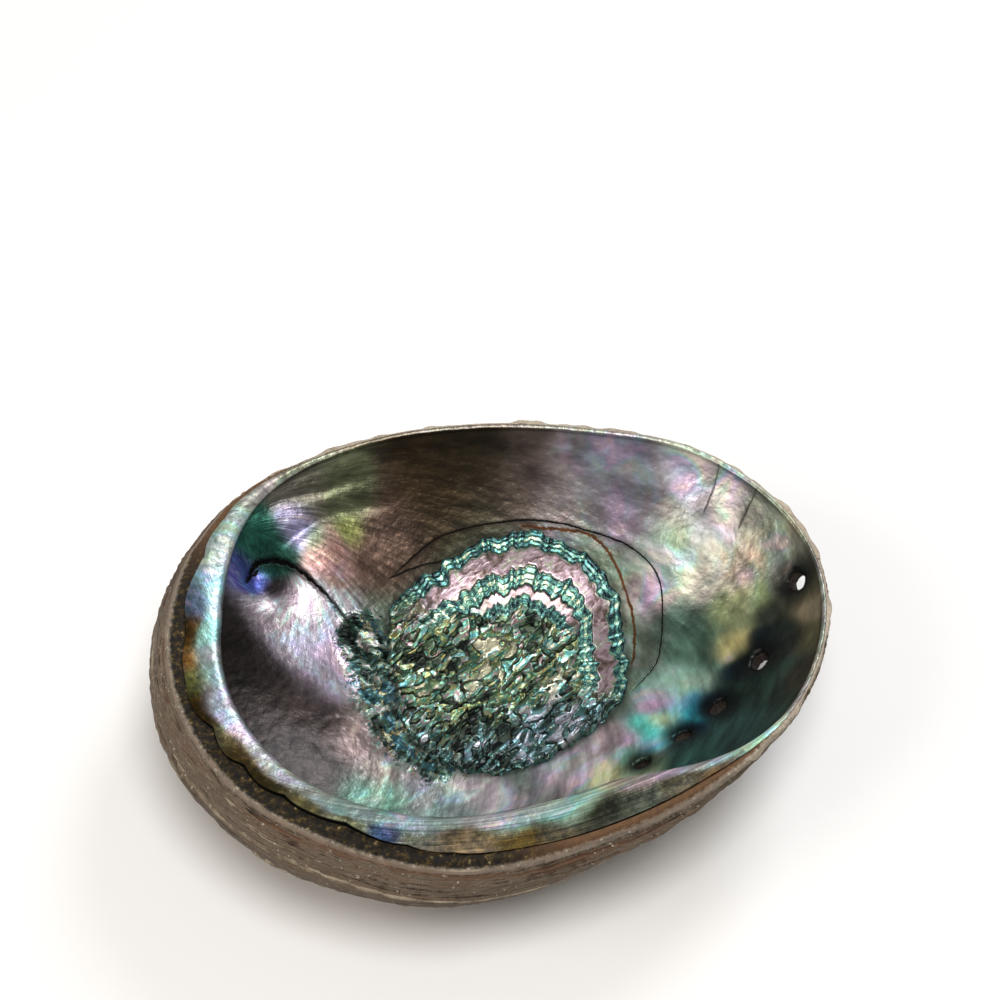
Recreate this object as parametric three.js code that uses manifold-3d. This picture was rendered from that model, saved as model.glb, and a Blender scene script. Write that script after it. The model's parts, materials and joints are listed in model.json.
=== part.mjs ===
// Green abalone shell, one grown piece, lying on its back with the bowl up.
//
// The shell is built about the middle of the muscle scar: lengths in millimetres,
// +X toward the youngest open hole, -Y toward the side that carries the inner lip,
// +Z out of the bowl, height 0 at the rim. It is then turned to the angle at which
// it balances and set on the floor with its box centred over the origin.

import * as THREE from "three";
import { mergeVertices } from "three/addons/utils/BufferGeometryUtils.js";
import Module from "manifold-3d";

// Rim and wall, every 30 degrees anticlockwise from the front of the shell.
const RIM_RADIUS = [81, 72.5, 60.5, 58.5, 65.5, 79, 85.5, 84.5, 77.3, 70.3, 70.4, 78.6];
const WALL_FULLNESS = [2.5, 2.3, 2.0, 1.9, 1.8, 1.55, 2.3, 3.0, 3.1, 2.6, 2.1, 2.2];
const WALL_ROUNDING = [1.12, 1.1, 1.1, 1.1, 1.1, 1.1, 1.4, 1.8, 1.8, 1.5, 1.2, 1.15];

// Depth of the bowl and thickness of the shell.
const BOWL_DEPTH = 35.5;
const FLOOR_THICKNESS = 4.2;
const EDGE_THICKNESS = 2.0;
const LIP_WALL_THICKNESS = 3.6;

// Inner lip: a flat shelf that turns in from the rim along the near and hind sides.
const LIP_WIDTH = 12.2;
const THIN_EDGE_WIDTH = 2.0;
const LIP_SPAN = { fadeIn: [112, 178], fadeOut: [285, 332] };

// Swell of the outside wall past the rim on the lip side.
const SWELL = 5.9;
const SWELL_SPAN = { fadeIn: [118, 182], fadeOut: [250, 318] };

// Deepest part of the bowl, and the coiled tip of the shell.
const HOLLOW = { x: -34, y: -22, halfX: 38, halfY: 30, depth: 3 };
const TIP = { x: -59.5, y: 30, pitDepth: 7, pitRadius: 6.5, knobHeight: 4.5, knobRadius: 10.5 };
const TIP_LEAN = { outward: 0.6, down: 0.8 };

// Roundness that the middle of the bowl has in every direction.
const MIDDLE_FULLNESS = 2.3;
const MIDDLE_ROUNDING = 1.3;
const ROW_SPACING = 0.83;
const TYPICAL_RADIUS = 72;

// Open holes, youngest first: place on the bowl wall and width of the bore.
const HOLES = [
  { x: 75, y: -1.5, width: 4.6 },
  { x: 62, y: -18, width: 4.8 },
  { x: 49.4, y: -27.5, width: 4.6 },
  { x: 39.3, y: -33.5, width: 4.2 },
  { x: 27.5, y: -39.5, width: 3.8 },
];
const HOLE_FLARE = 1.7;
const HOLE_FLARE_DEPTH = 1.4;
const HOLE_REACH = 9;
const HOLE_SIDES = 18;

// Balance angle on its back, and the flat the shell stands on.
const REST_PITCH = 1.07;
const REST_ROLL = 0.93;
const FOOT_DEPTH = 0.5;

// Fineness of the mesh.
const AROUND = 88;
const BOWL_ROWS = 17;
const LIP_ROWS = 16;
const UNDER_ROWS = 16;

const degrees = THREE.MathUtils.degToRad;

// Smooth closed curve through values spaced evenly round the circle.
function aroundCircle(values, angle) {
  const count = values.length;
  const turn = angle / (2 * Math.PI);
  const place = (turn - Math.floor(turn)) * count;
  const i = Math.floor(place) % count;
  const f = place - Math.floor(place);
  const a = values[(i + count - 1) % count];
  const b = values[i];
  const c = values[(i + 1) % count];
  const d = values[(i + 2) % count];
  const bend = 2 * a - 5 * b + 4 * c - d + f * (3 * (b - c) + d - a);
  return b + 0.5 * f * (c - a + f * bend);
}

// Share of a feature that is present at an angle, fading in and out.
function presence(span, angle) {
  const turn = angle / (2 * Math.PI);
  const place = (turn - Math.floor(turn)) * 360;
  const rise = THREE.MathUtils.smoothstep(place, span.fadeIn[0], span.fadeIn[1]);
  const fall = THREE.MathUtils.smoothstep(place, span.fadeOut[0], span.fadeOut[1]);
  return rise * (1 - fall);
}

// Everything the wall needs to know at one angle.
function wallAt(angle) {
  const lip = presence(LIP_SPAN, angle);
  const swell = presence(SWELL_SPAN, angle);
  const rim = aroundCircle(RIM_RADIUS, angle);
  return {
    lip,
    rim,
    lipWidth: THIN_EDGE_WIDTH + (LIP_WIDTH - THIN_EDGE_WIDTH) * lip,
    belly: rim + 0.3 + SWELL * swell,
    bellyHeight: -(1.2 + 1.8 * lip + 7 * swell),
    thickness: EDGE_THICKNESS + (LIP_WALL_THICKNESS - EDGE_THICKNESS) * lip,
    fullness: aroundCircle(WALL_FULLNESS, angle),
    rounding: aroundCircle(WALL_ROUNDING, angle),
  };
}

// Extra depth over the deepest part of the bowl.
function hollowDepth(x, y) {
  const across = ((x - HOLLOW.x) / HOLLOW.halfX) ** 2;
  const along = ((y - HOLLOW.y) / HOLLOW.halfY) ** 2;
  return HOLLOW.depth * Math.exp(-across - along);
}

// Pit inside the coiled tip.
function pitDepth(x, y) {
  const square = (x - TIP.x) ** 2 + (y - TIP.y) ** 2;
  return TIP.pitDepth * Math.exp(-square / TIP.pitRadius ** 2);
}

// Knob of the coiled tip on the outside.
function knobHeight(x, y) {
  const square = (x - TIP.x + 1) ** 2 + (y - TIP.y) ** 2;
  return TIP.knobHeight * Math.exp(-square / TIP.knobRadius ** 2);
}

// Drop of the bowl, from 0 at the wall to 1 in the middle, at a share of the way out.
function bowlDrop(reach, wall) {
  const own = THREE.MathUtils.smoothstep(reach, 0.1, 0.7);
  const fullness = THREE.MathUtils.lerp(MIDDLE_FULLNESS, wall.fullness, own);
  const rounding = THREE.MathUtils.lerp(MIDDLE_ROUNDING, wall.rounding, own);
  return Math.max(1 - reach ** fullness, 0) ** (1 / rounding);
}

// Share of the way out from the middle that a row's swing angle stands for.
function reachOf(swing) {
  return Math.max(Math.cos(swing), 0) ** ROW_SPACING;
}

// Point of the bowl or of the underside: swing is 0 at the wall and a quarter turn
// in the middle, and feature adds the pit or the knob of the tip.
function bowlPoint(angle, radius, depth, swing, feature) {
  const wall = wallAt(angle);
  const reach = reachOf(swing);
  const x = radius * reach * Math.cos(angle);
  const y = radius * reach * Math.sin(angle);
  const height = wall.bellyHeight - (depth + wall.bellyHeight) * bowlDrop(reach, wall);
  const dip = hollowDepth(x, y) * (1 - reach ** 4);
  const push = feature(x, y);
  return new THREE.Vector3(
    x + push * TIP_LEAN.outward * Math.cos(angle),
    y + push * TIP_LEAN.outward * Math.sin(angle),
    height - dip - push * TIP_LEAN.down,
  );
}

// Swing angles that space the bowl's rows evenly along a typical wall.
function evenSwings(rows, depth) {
  const steps = 2000;
  const typical = { fullness: MIDDLE_FULLNESS, rounding: MIDDLE_ROUNDING };
  const lengths = [0];
  const swings = [0];
  let last = new THREE.Vector2(TYPICAL_RADIUS, 0);
  for (let k = 1; k <= steps; k += 1) {
    const swing = (k / steps) * Math.PI * 0.5;
    const reach = reachOf(swing);
    const next = new THREE.Vector2(TYPICAL_RADIUS * reach, depth * bowlDrop(reach, typical));
    lengths.push(lengths[k - 1] + next.distanceTo(last));
    swings.push(swing);
    last = next;
  }
  const even = [];
  let k = 0;
  for (let row = 0; row < rows; row += 1) {
    const wanted = (lengths[steps] * row) / rows;
    while (lengths[k + 1] < wanted) {
      k += 1;
    }
    const share = (wanted - lengths[k]) / (lengths[k + 1] - lengths[k]);
    even.push(swings[k] + share * (swings[k + 1] - swings[k]));
  }
  return even;
}

// Section of the lip at one angle: from the bowl wall, under and over the shelf,
// round the rim and down to the widest part of the outside.
function lipSection(angle) {
  const wall = wallAt(angle);
  const blend = THREE.MathUtils.lerp;
  const rim = wall.rim;
  const width = wall.lipWidth;
  const lip = wall.lip;
  return [
    [wall.belly - wall.thickness, wall.bellyHeight],
    [blend(rim - 2.0, rim - 2.2, lip), blend(-0.9, -6.2, lip)],
    [blend(rim - 1.95, rim - width * 0.62, lip), blend(-0.6, -5.3, lip)],
    [blend(rim - 1.9, rim - width + 0.5, lip), blend(-0.4, -4.6, lip)],
    [blend(rim - 1.8, rim - width - 0.3, lip), blend(-0.2, -3.2, lip)],
    [blend(rim - 1.5, rim - width + 0.9, lip), blend(0, -1.9, lip)],
    [blend(rim - 1.2, rim - width * 0.5, lip), blend(0.1, -0.9, lip)],
    [blend(rim - 0.7, rim - 1.6, lip), blend(0.05, -0.25, lip)],
    [blend(rim - 0.2, rim - 0.1, lip), blend(-0.15, -0.5, lip)],
    [blend(rim + 0.1, rim + 1.4, lip), blend(-0.5, -2.2, lip)],
    [blend(rim + 0.25, rim + 4.2, lip), blend(-0.9, -5.6, lip)],
    [wall.belly, wall.bellyHeight],
  ];
}

// Points of the lip at one angle, smoothly along its section.
function lipPoints(angle, rows) {
  const section = lipSection(angle).map(([radius, height]) => {
    return new THREE.Vector3(radius * Math.cos(angle), radius * Math.sin(angle), height);
  });
  const curve = new THREE.CatmullRomCurve3(section, false, "centripetal");
  const points = [];
  for (let row = 0; row <= rows; row += 1) {
    points.push(curve.getPoint(row / rows));
  }
  return points;
}

// Closed solid from one ring of points per row and a pole at each end.
function closedSolid(rings, firstPole, lastPole) {
  const around = rings[0].length;
  const positions = [firstPole, ...rings.flat(), lastPole];
  const triangles = [];
  const at = (row, column) => 1 + row * around + (column % around);
  for (let column = 0; column < around; column += 1) {
    triangles.push(0, at(0, column), at(0, column + 1));
  }
  for (let row = 0; row + 1 < rings.length; row += 1) {
    for (let column = 0; column < around; column += 1) {
      const a = at(row, column);
      const b = at(row + 1, column);
      const c = at(row + 1, column + 1);
      const d = at(row, column + 1);
      triangles.push(a, b, c, a, c, d);
    }
  }
  const last = positions.length - 1;
  for (let column = 0; column < around; column += 1) {
    triangles.push(at(rings.length - 1, column + 1), at(rings.length - 1, column), last);
  }
  const vertProperties = new Float32Array(positions.flatMap((point) => point.toArray()));
  return { numProp: 3, vertProperties, triVerts: new Uint32Array(triangles) };
}

// The shell as grown, before the holes.
function shellSurface() {
  const angles = [];
  for (let column = 0; column < AROUND; column += 1) {
    angles.push((column / AROUND) * 2 * Math.PI);
  }
  const none = () => 0;
  const rings = [];
  const bowlSwings = evenSwings(BOWL_ROWS, BOWL_DEPTH);
  for (const swing of bowlSwings.slice(1).reverse()) {
    rings.push(angles.map((angle) => {
      const wall = wallAt(angle);
      return bowlPoint(angle, wall.belly - wall.thickness, BOWL_DEPTH, swing, pitDepth);
    }));
  }
  const lips = angles.map((angle) => lipPoints(angle, LIP_ROWS));
  for (let row = 0; row <= LIP_ROWS; row += 1) {
    rings.push(lips.map((points) => points[row]));
  }
  const underDepth = BOWL_DEPTH + FLOOR_THICKNESS;
  for (const swing of evenSwings(UNDER_ROWS, underDepth).slice(1)) {
    rings.push(angles.map((angle) => {
      return bowlPoint(angle, wallAt(angle).belly, underDepth, swing, knobHeight);
    }));
  }
  const middle = Math.PI / 2;
  const firstPole = bowlPoint(0, 80, BOWL_DEPTH, middle, none);
  const lastPole = bowlPoint(0, 80, underDepth, middle, none);
  return closedSolid(rings, firstPole, lastPole);
}

// Height of the bowl wall over a place in plan.
function bowlHeight(x, y) {
  const wall = wallAt(Math.atan2(y, x));
  const reach = Math.min(Math.hypot(x, y) / (wall.belly - wall.thickness), 1);
  const height = wall.bellyHeight - (BOWL_DEPTH + wall.bellyHeight) * bowlDrop(reach, wall);
  return height - hollowDepth(x, y) * (1 - reach ** 4);
}

// Direction out of the bowl wall, into the bowl, over a place in plan.
function bowlNormal(x, y) {
  const step = 0.5;
  const slopeX = (bowlHeight(x + step, y) - bowlHeight(x - step, y)) / (2 * step);
  const slopeY = (bowlHeight(x, y + step) - bowlHeight(x, y - step)) / (2 * step);
  return new THREE.Vector3(-slopeX, -slopeY, 1).normalize();
}

// Solid of a closed three.js geometry, for cutting.
function solidOf(wasm, geometry) {
  geometry.deleteAttribute("normal");
  geometry.deleteAttribute("uv");
  const merged = mergeVertices(geometry, 1e-4);
  const vertProperties = new Float32Array(merged.attributes.position.array);
  const triVerts = new Uint32Array(merged.index.array);
  return new wasm.Manifold(new wasm.Mesh({ numProp: 3, vertProperties, triVerts }));
}

// Cutter for one hole: a straight bore that flares toward the inside of the bowl.
function holeCutter(wasm, hole) {
  const bore = hole.width / 2;
  const mouth = bore * HOLE_FLARE;
  const profile = [
    new THREE.Vector2(0, -HOLE_REACH),
    new THREE.Vector2(bore, -HOLE_REACH),
    new THREE.Vector2(bore, -HOLE_FLARE_DEPTH),
    new THREE.Vector2(mouth, 0.4),
    new THREE.Vector2(mouth, HOLE_REACH / 3),
    new THREE.Vector2(0, HOLE_REACH / 3),
  ];
  const cutter = new THREE.LatheGeometry(profile, HOLE_SIDES);
  const inward = bowlNormal(hole.x, hole.y);
  const turn = new THREE.Quaternion().setFromUnitVectors(new THREE.Vector3(0, 1, 0), inward);
  const centre = new THREE.Vector3(hole.x, hole.y, bowlHeight(hole.x, hole.y));
  cutter.applyQuaternion(turn);
  cutter.translate(centre.x, centre.y, centre.z);
  return solidOf(wasm, cutter);
}

// Turn to the balance angle, flatten the foot and stand on the floor.
function standOnFloor(positions) {
  const turn = new THREE.Matrix4().makeRotationX(degrees(REST_ROLL));
  turn.multiply(new THREE.Matrix4().makeRotationY(degrees(REST_PITCH)));
  const points = [];
  for (let i = 0; i < positions.length; i += 3) {
    points.push(new THREE.Vector3(...positions.slice(i, i + 3)).applyMatrix4(turn));
  }
  const box = new THREE.Box3().setFromPoints(points);
  const floor = box.min.z + FOOT_DEPTH;
  const middle = box.getCenter(new THREE.Vector3());
  return points.flatMap((point) => {
    return [point.x - middle.x, point.y - middle.y, Math.max(point.z, floor) - floor];
  });
}

async function buildShell() {
  const wasm = await Module();
  wasm.setup();
  let body = new wasm.Manifold(new wasm.Mesh(shellSurface()));
  for (const hole of HOLES) {
    body = body.subtract(holeCutter(wasm, hole));
  }
  const cut = body.getMesh();
  const positions = [];
  for (let i = 0; i < cut.vertProperties.length; i += cut.numProp) {
    positions.push(...cut.vertProperties.slice(i, i + 3));
  }
  const geometry = new THREE.BufferGeometry();
  geometry.setAttribute("position", new THREE.Float32BufferAttribute(standOnFloor(positions), 3));
  geometry.setIndex([...cut.triVerts]);
  geometry.computeVertexNormals();
  const material = new THREE.MeshStandardMaterial({ color: 0x8f8a84, roughness: 0.35, metalness: 0.1 });
  material.name = "shell_nacre";
  const mesh = new THREE.Mesh(geometry, material);
  mesh.name = "abalone_shell";
  return mesh;
}

const group = new THREE.Group();
group.name = "abalone_shell_part";
group.add(await buildShell());

export default group;
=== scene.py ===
"""Green abalone shell lying on its back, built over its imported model.

Lengths are in millimetres inside the script and turned to metres as each mesh is
made. The shell is drawn about the middle of its muscle scar, +X toward the
youngest open hole, -Y toward the inner lip, +Z out of the bowl, height 0 at the
rim. It is then turned to the angle at which it balances and set on the floor.
"""

import json
import logging
import math
from dataclasses import dataclass, field
from enum import Enum

import bpy
import numpy as np
from mathutils import Matrix, Vector
from mathutils.kdtree import KDTree

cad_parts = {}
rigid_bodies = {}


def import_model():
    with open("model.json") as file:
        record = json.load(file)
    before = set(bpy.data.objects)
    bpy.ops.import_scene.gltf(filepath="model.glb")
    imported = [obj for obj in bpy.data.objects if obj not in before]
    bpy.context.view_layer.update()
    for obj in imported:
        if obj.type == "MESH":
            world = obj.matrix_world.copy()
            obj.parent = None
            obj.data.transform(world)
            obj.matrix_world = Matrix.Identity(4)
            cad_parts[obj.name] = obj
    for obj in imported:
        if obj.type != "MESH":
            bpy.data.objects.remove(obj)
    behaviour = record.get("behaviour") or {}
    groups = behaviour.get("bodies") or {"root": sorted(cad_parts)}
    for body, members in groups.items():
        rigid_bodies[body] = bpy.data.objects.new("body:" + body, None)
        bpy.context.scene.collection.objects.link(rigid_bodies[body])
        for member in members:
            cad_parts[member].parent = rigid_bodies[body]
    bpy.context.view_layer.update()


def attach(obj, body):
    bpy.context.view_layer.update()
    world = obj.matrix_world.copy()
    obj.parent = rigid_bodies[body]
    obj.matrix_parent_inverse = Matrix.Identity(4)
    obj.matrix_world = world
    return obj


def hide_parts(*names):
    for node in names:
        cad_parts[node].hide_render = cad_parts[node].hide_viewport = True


log = logging.getLogger("abalone_shell")

Socket = bpy.types.NodeSocket
Value = Socket | float | str | tuple | None

MM = 0.001
GOLDEN = 0.618
HEAP_LEAN = -0.62
NODE = "abalone_shell"
QUARTER_TURN = math.pi / 2
FULL_TURN = 2 * math.pi


# ---- numbers


def smoothstep(low: float, high: float, value: np.ndarray) -> np.ndarray:
    """Rises smoothly from 0 at low to 1 at high."""
    share = np.clip((value - low) / (high - low), 0.0, 1.0)
    return share * share * (3 - 2 * share)


def lerp(start: np.ndarray, end: np.ndarray, share: np.ndarray) -> np.ndarray:
    """Goes from start to end by a share."""
    return start + (end - start) * share


def spline(corners: tuple, share: np.ndarray) -> np.ndarray:
    """Smooth curve between the middle two of four values.

    Args:
        corners: the four values.
        share: how far between the second and the third.

    Returns:
        The curve's value.
    """
    a, b, c, d = corners
    bend = 2 * a - 5 * b + 4 * c - d + share * (3 * (b - c) + d - a)
    return b + 0.5 * share * (c - a + share * bend)


def around_circle(values: tuple[float, ...], angle: np.ndarray) -> np.ndarray:
    """Smooth closed curve through values spaced evenly round the circle.

    Args:
        values: one value per equal step of angle, starting at +X.
        angle: radians.

    Returns:
        The curve's value at each angle.
    """
    points = np.asarray(values, float)
    place = (np.asarray(angle, float) % FULL_TURN) / FULL_TURN * len(points)
    first = np.floor(place).astype(int)
    return spline([points[(first + k) % len(points)] for k in (-1, 0, 1, 2)], place - first)


def presence(span: tuple[float, float, float, float], angle: np.ndarray) -> np.ndarray:
    """Share of a feature present at an angle."""
    turn = np.degrees(angle) % 360
    return smoothstep(span[0], span[1], turn) * (1 - smoothstep(span[2], span[3], turn))


def curve_through(points: tuple[tuple[float, float], ...], steps: int = 12) -> np.ndarray:
    """Open Catmull-Rom curve in plan.

    Args:
        points: places the curve passes through.
        steps: pieces between two places.

    Returns:
        Places along the curve, one per row.
    """
    ends = np.asarray(points, float)
    ends = np.vstack([2 * ends[0] - ends[1], ends, 2 * ends[-1] - ends[-2]])
    share = np.linspace(0, 1, steps, endpoint=False)[:, None]
    rows = [spline(ends[k : k + 4], share) for k in range(len(points) - 1)]
    return np.vstack(rows + [ends[-2:-1]])


def distance_to_curve(x: np.ndarray, y: np.ndarray, curve: np.ndarray) -> tuple:
    """Distance in plan to a curve, and on which side a place lies.

    Args:
        x: places' x.
        y: places' y.
        curve: places along the curve.

    Returns:
        The distance, the side (1 on the left, -1 on the right) and the share of
        the way along the curve of the nearest place.
    """
    best = np.full(x.shape, np.inf)
    side = np.ones(x.shape)
    along = np.zeros(x.shape)
    for k, (a, b) in enumerate(zip(curve, curve[1:])):
        run = b - a
        share = np.clip(((x - a[0]) * run[0] + (y - a[1]) * run[1]) / (run @ run), 0, 1)
        dx = x - a[0] - share * run[0]
        dy = y - a[1] - share * run[1]
        gap = np.hypot(dx, dy)
        closer = gap < best
        best = np.where(closer, gap, best)
        side = np.where(closer, np.sign(run[0] * dy - run[1] * dx), side)
        along = np.where(closer, (k + share) / (len(curve) - 1), along)
    return best, side, along


# ---- form


@dataclass(frozen=True)
class Wall:
    """What the shell measures at some angles round its muscle scar."""

    lip: np.ndarray
    rim: np.ndarray
    lip_width: np.ndarray
    belly: np.ndarray
    belly_height: np.ndarray
    thickness: np.ndarray
    fullness: np.ndarray
    rounding: np.ndarray


@dataclass(frozen=True)
class ShellForm:
    """Driving sizes of the shell, as in its model."""

    rim_radius: tuple = (81, 72.5, 60.5, 58.5, 65.5, 79, 85.5, 84.5, 77.3, 70.3, 70.4, 78.6)
    wall_fullness: tuple = (2.5, 2.3, 2.0, 1.9, 1.8, 1.55, 2.3, 3.0, 3.1, 2.6, 2.1, 2.2)
    wall_rounding: tuple = (1.12, 1.1, 1.1, 1.1, 1.1, 1.1, 1.4, 1.8, 1.8, 1.5, 1.2, 1.15)
    middle_fullness: float = 2.3
    middle_rounding: float = 1.3
    row_spacing: float = 0.83
    typical_radius: float = 72.0
    bowl_depth: float = 35.5
    floor_thickness: float = 4.2
    edge_thickness: float = 2.0
    lip_wall_thickness: float = 3.6
    lip_width: float = 12.2
    lip_span: tuple = (112, 178, 285, 332)
    swell: float = 5.9
    swell_span: tuple = (118, 182, 250, 318)
    hollow: tuple = (-34.0, -22.0, 38.0, 30.0, 3.0)
    tip: tuple = (-59.5, 30.0)
    pit: tuple = (7.0, 6.5)
    knob: tuple = (4.5, 10.5)
    tip_lean: tuple = (0.6, 0.8)
    rest_roll: float = 0.93
    rest_pitch: float = 1.07
    rest_offset: tuple = (-5.297, -8.676, -40.65)

    def wall_at(self, angle: np.ndarray) -> Wall:
        """Measures the wall at some angles.

        Args:
            angle: radians.

        Returns:
            The wall there.
        """
        lip = presence(self.lip_span, angle)
        swell = presence(self.swell_span, angle)
        rim = around_circle(self.rim_radius, angle)
        return Wall(
            lip=lip, rim=rim, lip_width=lerp(self.edge_thickness, self.lip_width, lip),
            belly=rim + 0.3 + self.swell * swell, belly_height=-(1.2 + 1.8 * lip + 7 * swell),
            thickness=lerp(self.edge_thickness, self.lip_wall_thickness, lip),
            fullness=around_circle(self.wall_fullness, angle),
            rounding=around_circle(self.wall_rounding, angle)
        )

    def drop(self, reach: np.ndarray, wall: Wall | None) -> np.ndarray:
        """Drop of the bowl, 0 at the wall and 1 in the middle.

        Args:
            reach: share of the way out to the wall.
            wall: the wall there, or None for a typical one.

        Returns:
            The share of the depth.
        """
        own = smoothstep(0.1, 0.7, reach)
        fullness = self.middle_fullness
        rounding = self.middle_rounding
        if wall is not None:
            fullness = lerp(fullness, wall.fullness, own)
            rounding = lerp(rounding, wall.rounding, own)
        return np.maximum(1 - np.clip(reach, 0, 1) ** fullness, 0) ** (1 / rounding)

    def hollow_depth(self, x: np.ndarray, y: np.ndarray) -> np.ndarray:
        """Extra depth over the deepest part of the bowl."""
        middle_x, middle_y, half_x, half_y, depth = self.hollow
        return depth * np.exp(-(((x - middle_x) / half_x) ** 2) - ((y - middle_y) / half_y) ** 2)

    def tip_push(self, x: np.ndarray, y: np.ndarray, size: tuple, shift: float) -> np.ndarray:
        """How far the coiled tip pushes the wall out."""
        square = (x - self.tip[0] + shift) ** 2 + (y - self.tip[1]) ** 2
        return size[0] * np.exp(-square / size[1] ** 2)

    def bowl(
        self, angle: np.ndarray, reach: np.ndarray, radius: np.ndarray, depth: float, size: tuple,
        shift: float = 0.0,
    ) -> np.ndarray:
        """Places on the bowl or on a surface below it.

        Args:
            angle: radians round the muscle scar.
            reach: share of the way out to the wall.
            radius: plan radius of the wall on this surface.
            depth: depth of this surface in the middle.
            size: height and radius of the tip's push.
            shift: how far toward -X the push lies.

        Returns:
            Places, last axis x, y, z.
        """
        wall = self.wall_at(angle)
        x = radius * reach * np.cos(angle)
        y = radius * reach * np.sin(angle)
        height = wall.belly_height - (depth + wall.belly_height) * self.drop(reach, wall)
        dip = self.hollow_depth(x, y) * (1 - reach**4)
        push = self.tip_push(x, y, size, shift)
        out, down = self.tip_lean
        return np.stack(
            [
                x + push * out * np.cos(angle), y + push * out * np.sin(angle),
                height - dip - push * down
            ], axis=-1
        )

    def middle(self, depth: float, size: tuple, shift: float = 0.0) -> np.ndarray:
        """Middle of the bowl or of a surface below it, as in bowl."""
        return self.bowl(np.zeros(1), np.zeros(1), self.typical_radius, depth, size, shift)[0]

    def bowl_height(self, x: np.ndarray, y: np.ndarray) -> np.ndarray:
        """Height of the bowl's inside over places in plan.

        Args:
            x: places' x.
            y: places' y.

        Returns:
            Heights.
        """
        angle = np.arctan2(y, x)
        wall = self.wall_at(angle)
        reach = np.minimum(np.hypot(x, y) / (wall.belly - wall.thickness), 1)
        height = wall.belly_height - (self.bowl_depth + wall.belly_height) * self.drop(reach, wall)
        dip = self.hollow_depth(x, y) * (1 - reach**4)
        return height - dip - self.tip_lean[1] * self.tip_push(x, y, self.pit, 0.0)

    def bowl_normal(self, x: float, y: float) -> np.ndarray:
        """Direction out of the bowl's wall over a place in plan.

        Args:
            x: place's x.
            y: place's y.

        Returns:
            A unit vector.
        """
        step = 0.5
        fall_x = self.bowl_height(x - step, y) - self.bowl_height(x + step, y)
        fall_y = self.bowl_height(x, y - step) - self.bowl_height(x, y + step)
        normal = np.array([float(fall_x), float(fall_y), 2 * step])
        return normal / np.linalg.norm(normal)

    def even_reaches(self, depth: float, stops: np.ndarray) -> np.ndarray:
        """Reaches at shares of the way from the middle to the wall, by arc length.

        Args:
            depth: depth of the surface in the middle.
            stops: shares of the arc, 0 in the middle.

        Returns:
            The reach at each share.
        """
        swing = np.linspace(QUARTER_TURN, 0, 4000)
        reach = np.maximum(np.cos(swing), 0) ** self.row_spacing
        reach[0] = 0.0
        drop = self.drop(reach, None)
        steps = np.hypot(np.diff(reach * self.typical_radius), np.diff(drop * depth))
        length = np.concatenate([[0], np.cumsum(steps)])
        return np.interp(np.asarray(stops) * length[-1], length, reach)

    def rest(self) -> Matrix:
        """Where the shell lies on the floor.

        Returns:
            The move from the shell's own millimetres to the row frame's.
        """
        turn = Matrix.Rotation(math.radians(self.rest_roll), 4, "X")
        turn = turn @ Matrix.Rotation(math.radians(self.rest_pitch), 4, "Y")
        return Matrix.Translation(-Vector(self.rest_offset)) @ turn


FORM = ShellForm()


@dataclass(frozen=True)
class Hole:
    """One hole in the row: its place on the bowl's wall and its bore."""

    x: float
    y: float
    width: float


OPEN_HOLES = (
    Hole(75.0, -1.5, 4.6),
    Hole(62.0, -18.0, 4.8),
    Hole(49.4, -27.5, 4.6),
    Hole(39.3, -33.5, 4.2),
    Hole(27.5, -39.5, 3.8),
)


# ---- growth


@dataclass(frozen=True)
class Growth:
    """Log-spiral growth about the tip: every part of the rim moves along one spiral.

    A place is reached by the rim at an age, counted in radians of turn back from
    today's rim, by the part of the rim at some length along it.
    """

    tip: tuple[float, float]
    rim: np.ndarray
    rate: float = 0.5

    def coordinates(self, x: np.ndarray, y: np.ndarray) -> tuple[np.ndarray, np.ndarray]:
        """Finds when and by which part of the rim each place was grown.

        Args:
            x: places' x on the flattened wall.
            y: places' y on the flattened wall.

        Returns:
            The age in radians of turn, and the length along today's rim in
            millimetres.
        """
        rim_x = self.rim[:, 0] - self.tip[0]
        rim_y = self.rim[:, 1] - self.tip[1]
        bearing = np.unwrap(np.arctan2(rim_y, rim_x))
        steps = np.hypot(np.diff(rim_x, append=rim_x[0]), np.diff(rim_y, append=rim_y[0]))
        length = np.concatenate([[0], np.cumsum(steps)[:-1]])
        whole = float(np.sum(steps))
        start = bearing[0]
        log_reach = np.log(np.hypot(rim_x, rim_y))
        turns = np.concatenate([bearing - start, [FULL_TURN]])
        log_reach = np.concatenate([log_reach, log_reach[:1]])
        length = np.concatenate([length, [whole]])

        own = np.log(np.maximum(np.hypot(x - self.tip[0], y - self.tip[1]), 0.4))
        heading = np.arctan2(y - self.tip[1], x - self.tip[0])

        def short_of_rim(age: np.ndarray) -> np.ndarray:
            """Tells how far inside the rim a place lies after it has grown for an age."""
            ahead = (heading + age - start) % FULL_TURN
            return self.rate * age + own - np.interp(ahead, turns, log_reach)

        step = math.radians(3)
        age = np.zeros_like(own)
        found = np.zeros(own.shape, bool)
        last = short_of_rim(age)
        found |= last >= 0
        for k in range(1, 500):
            now = short_of_rim(np.full_like(own, k * step))
            crossed = ~found & (now >= 0)
            share = np.where(crossed, -last / np.where(now == last, 1, now - last), 0)
            age = np.where(crossed, (k - 1 + share) * step, age)
            found |= crossed
            last = now
            if found.all():
                break
        place = np.interp((heading + age - start) % FULL_TURN, turns, length)
        return age, place


# ---- meshes


def put(name: str, data: bpy.types.ID) -> bpy.types.Object:
    """Puts a thing in the scene, at the origin.

    Args:
        name: its name.
        data: its mesh, lamp or camera.

    Returns:
        The thing.
    """
    thing = bpy.data.objects.new(name, data)
    bpy.context.scene.collection.objects.link(thing)
    return thing


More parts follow.
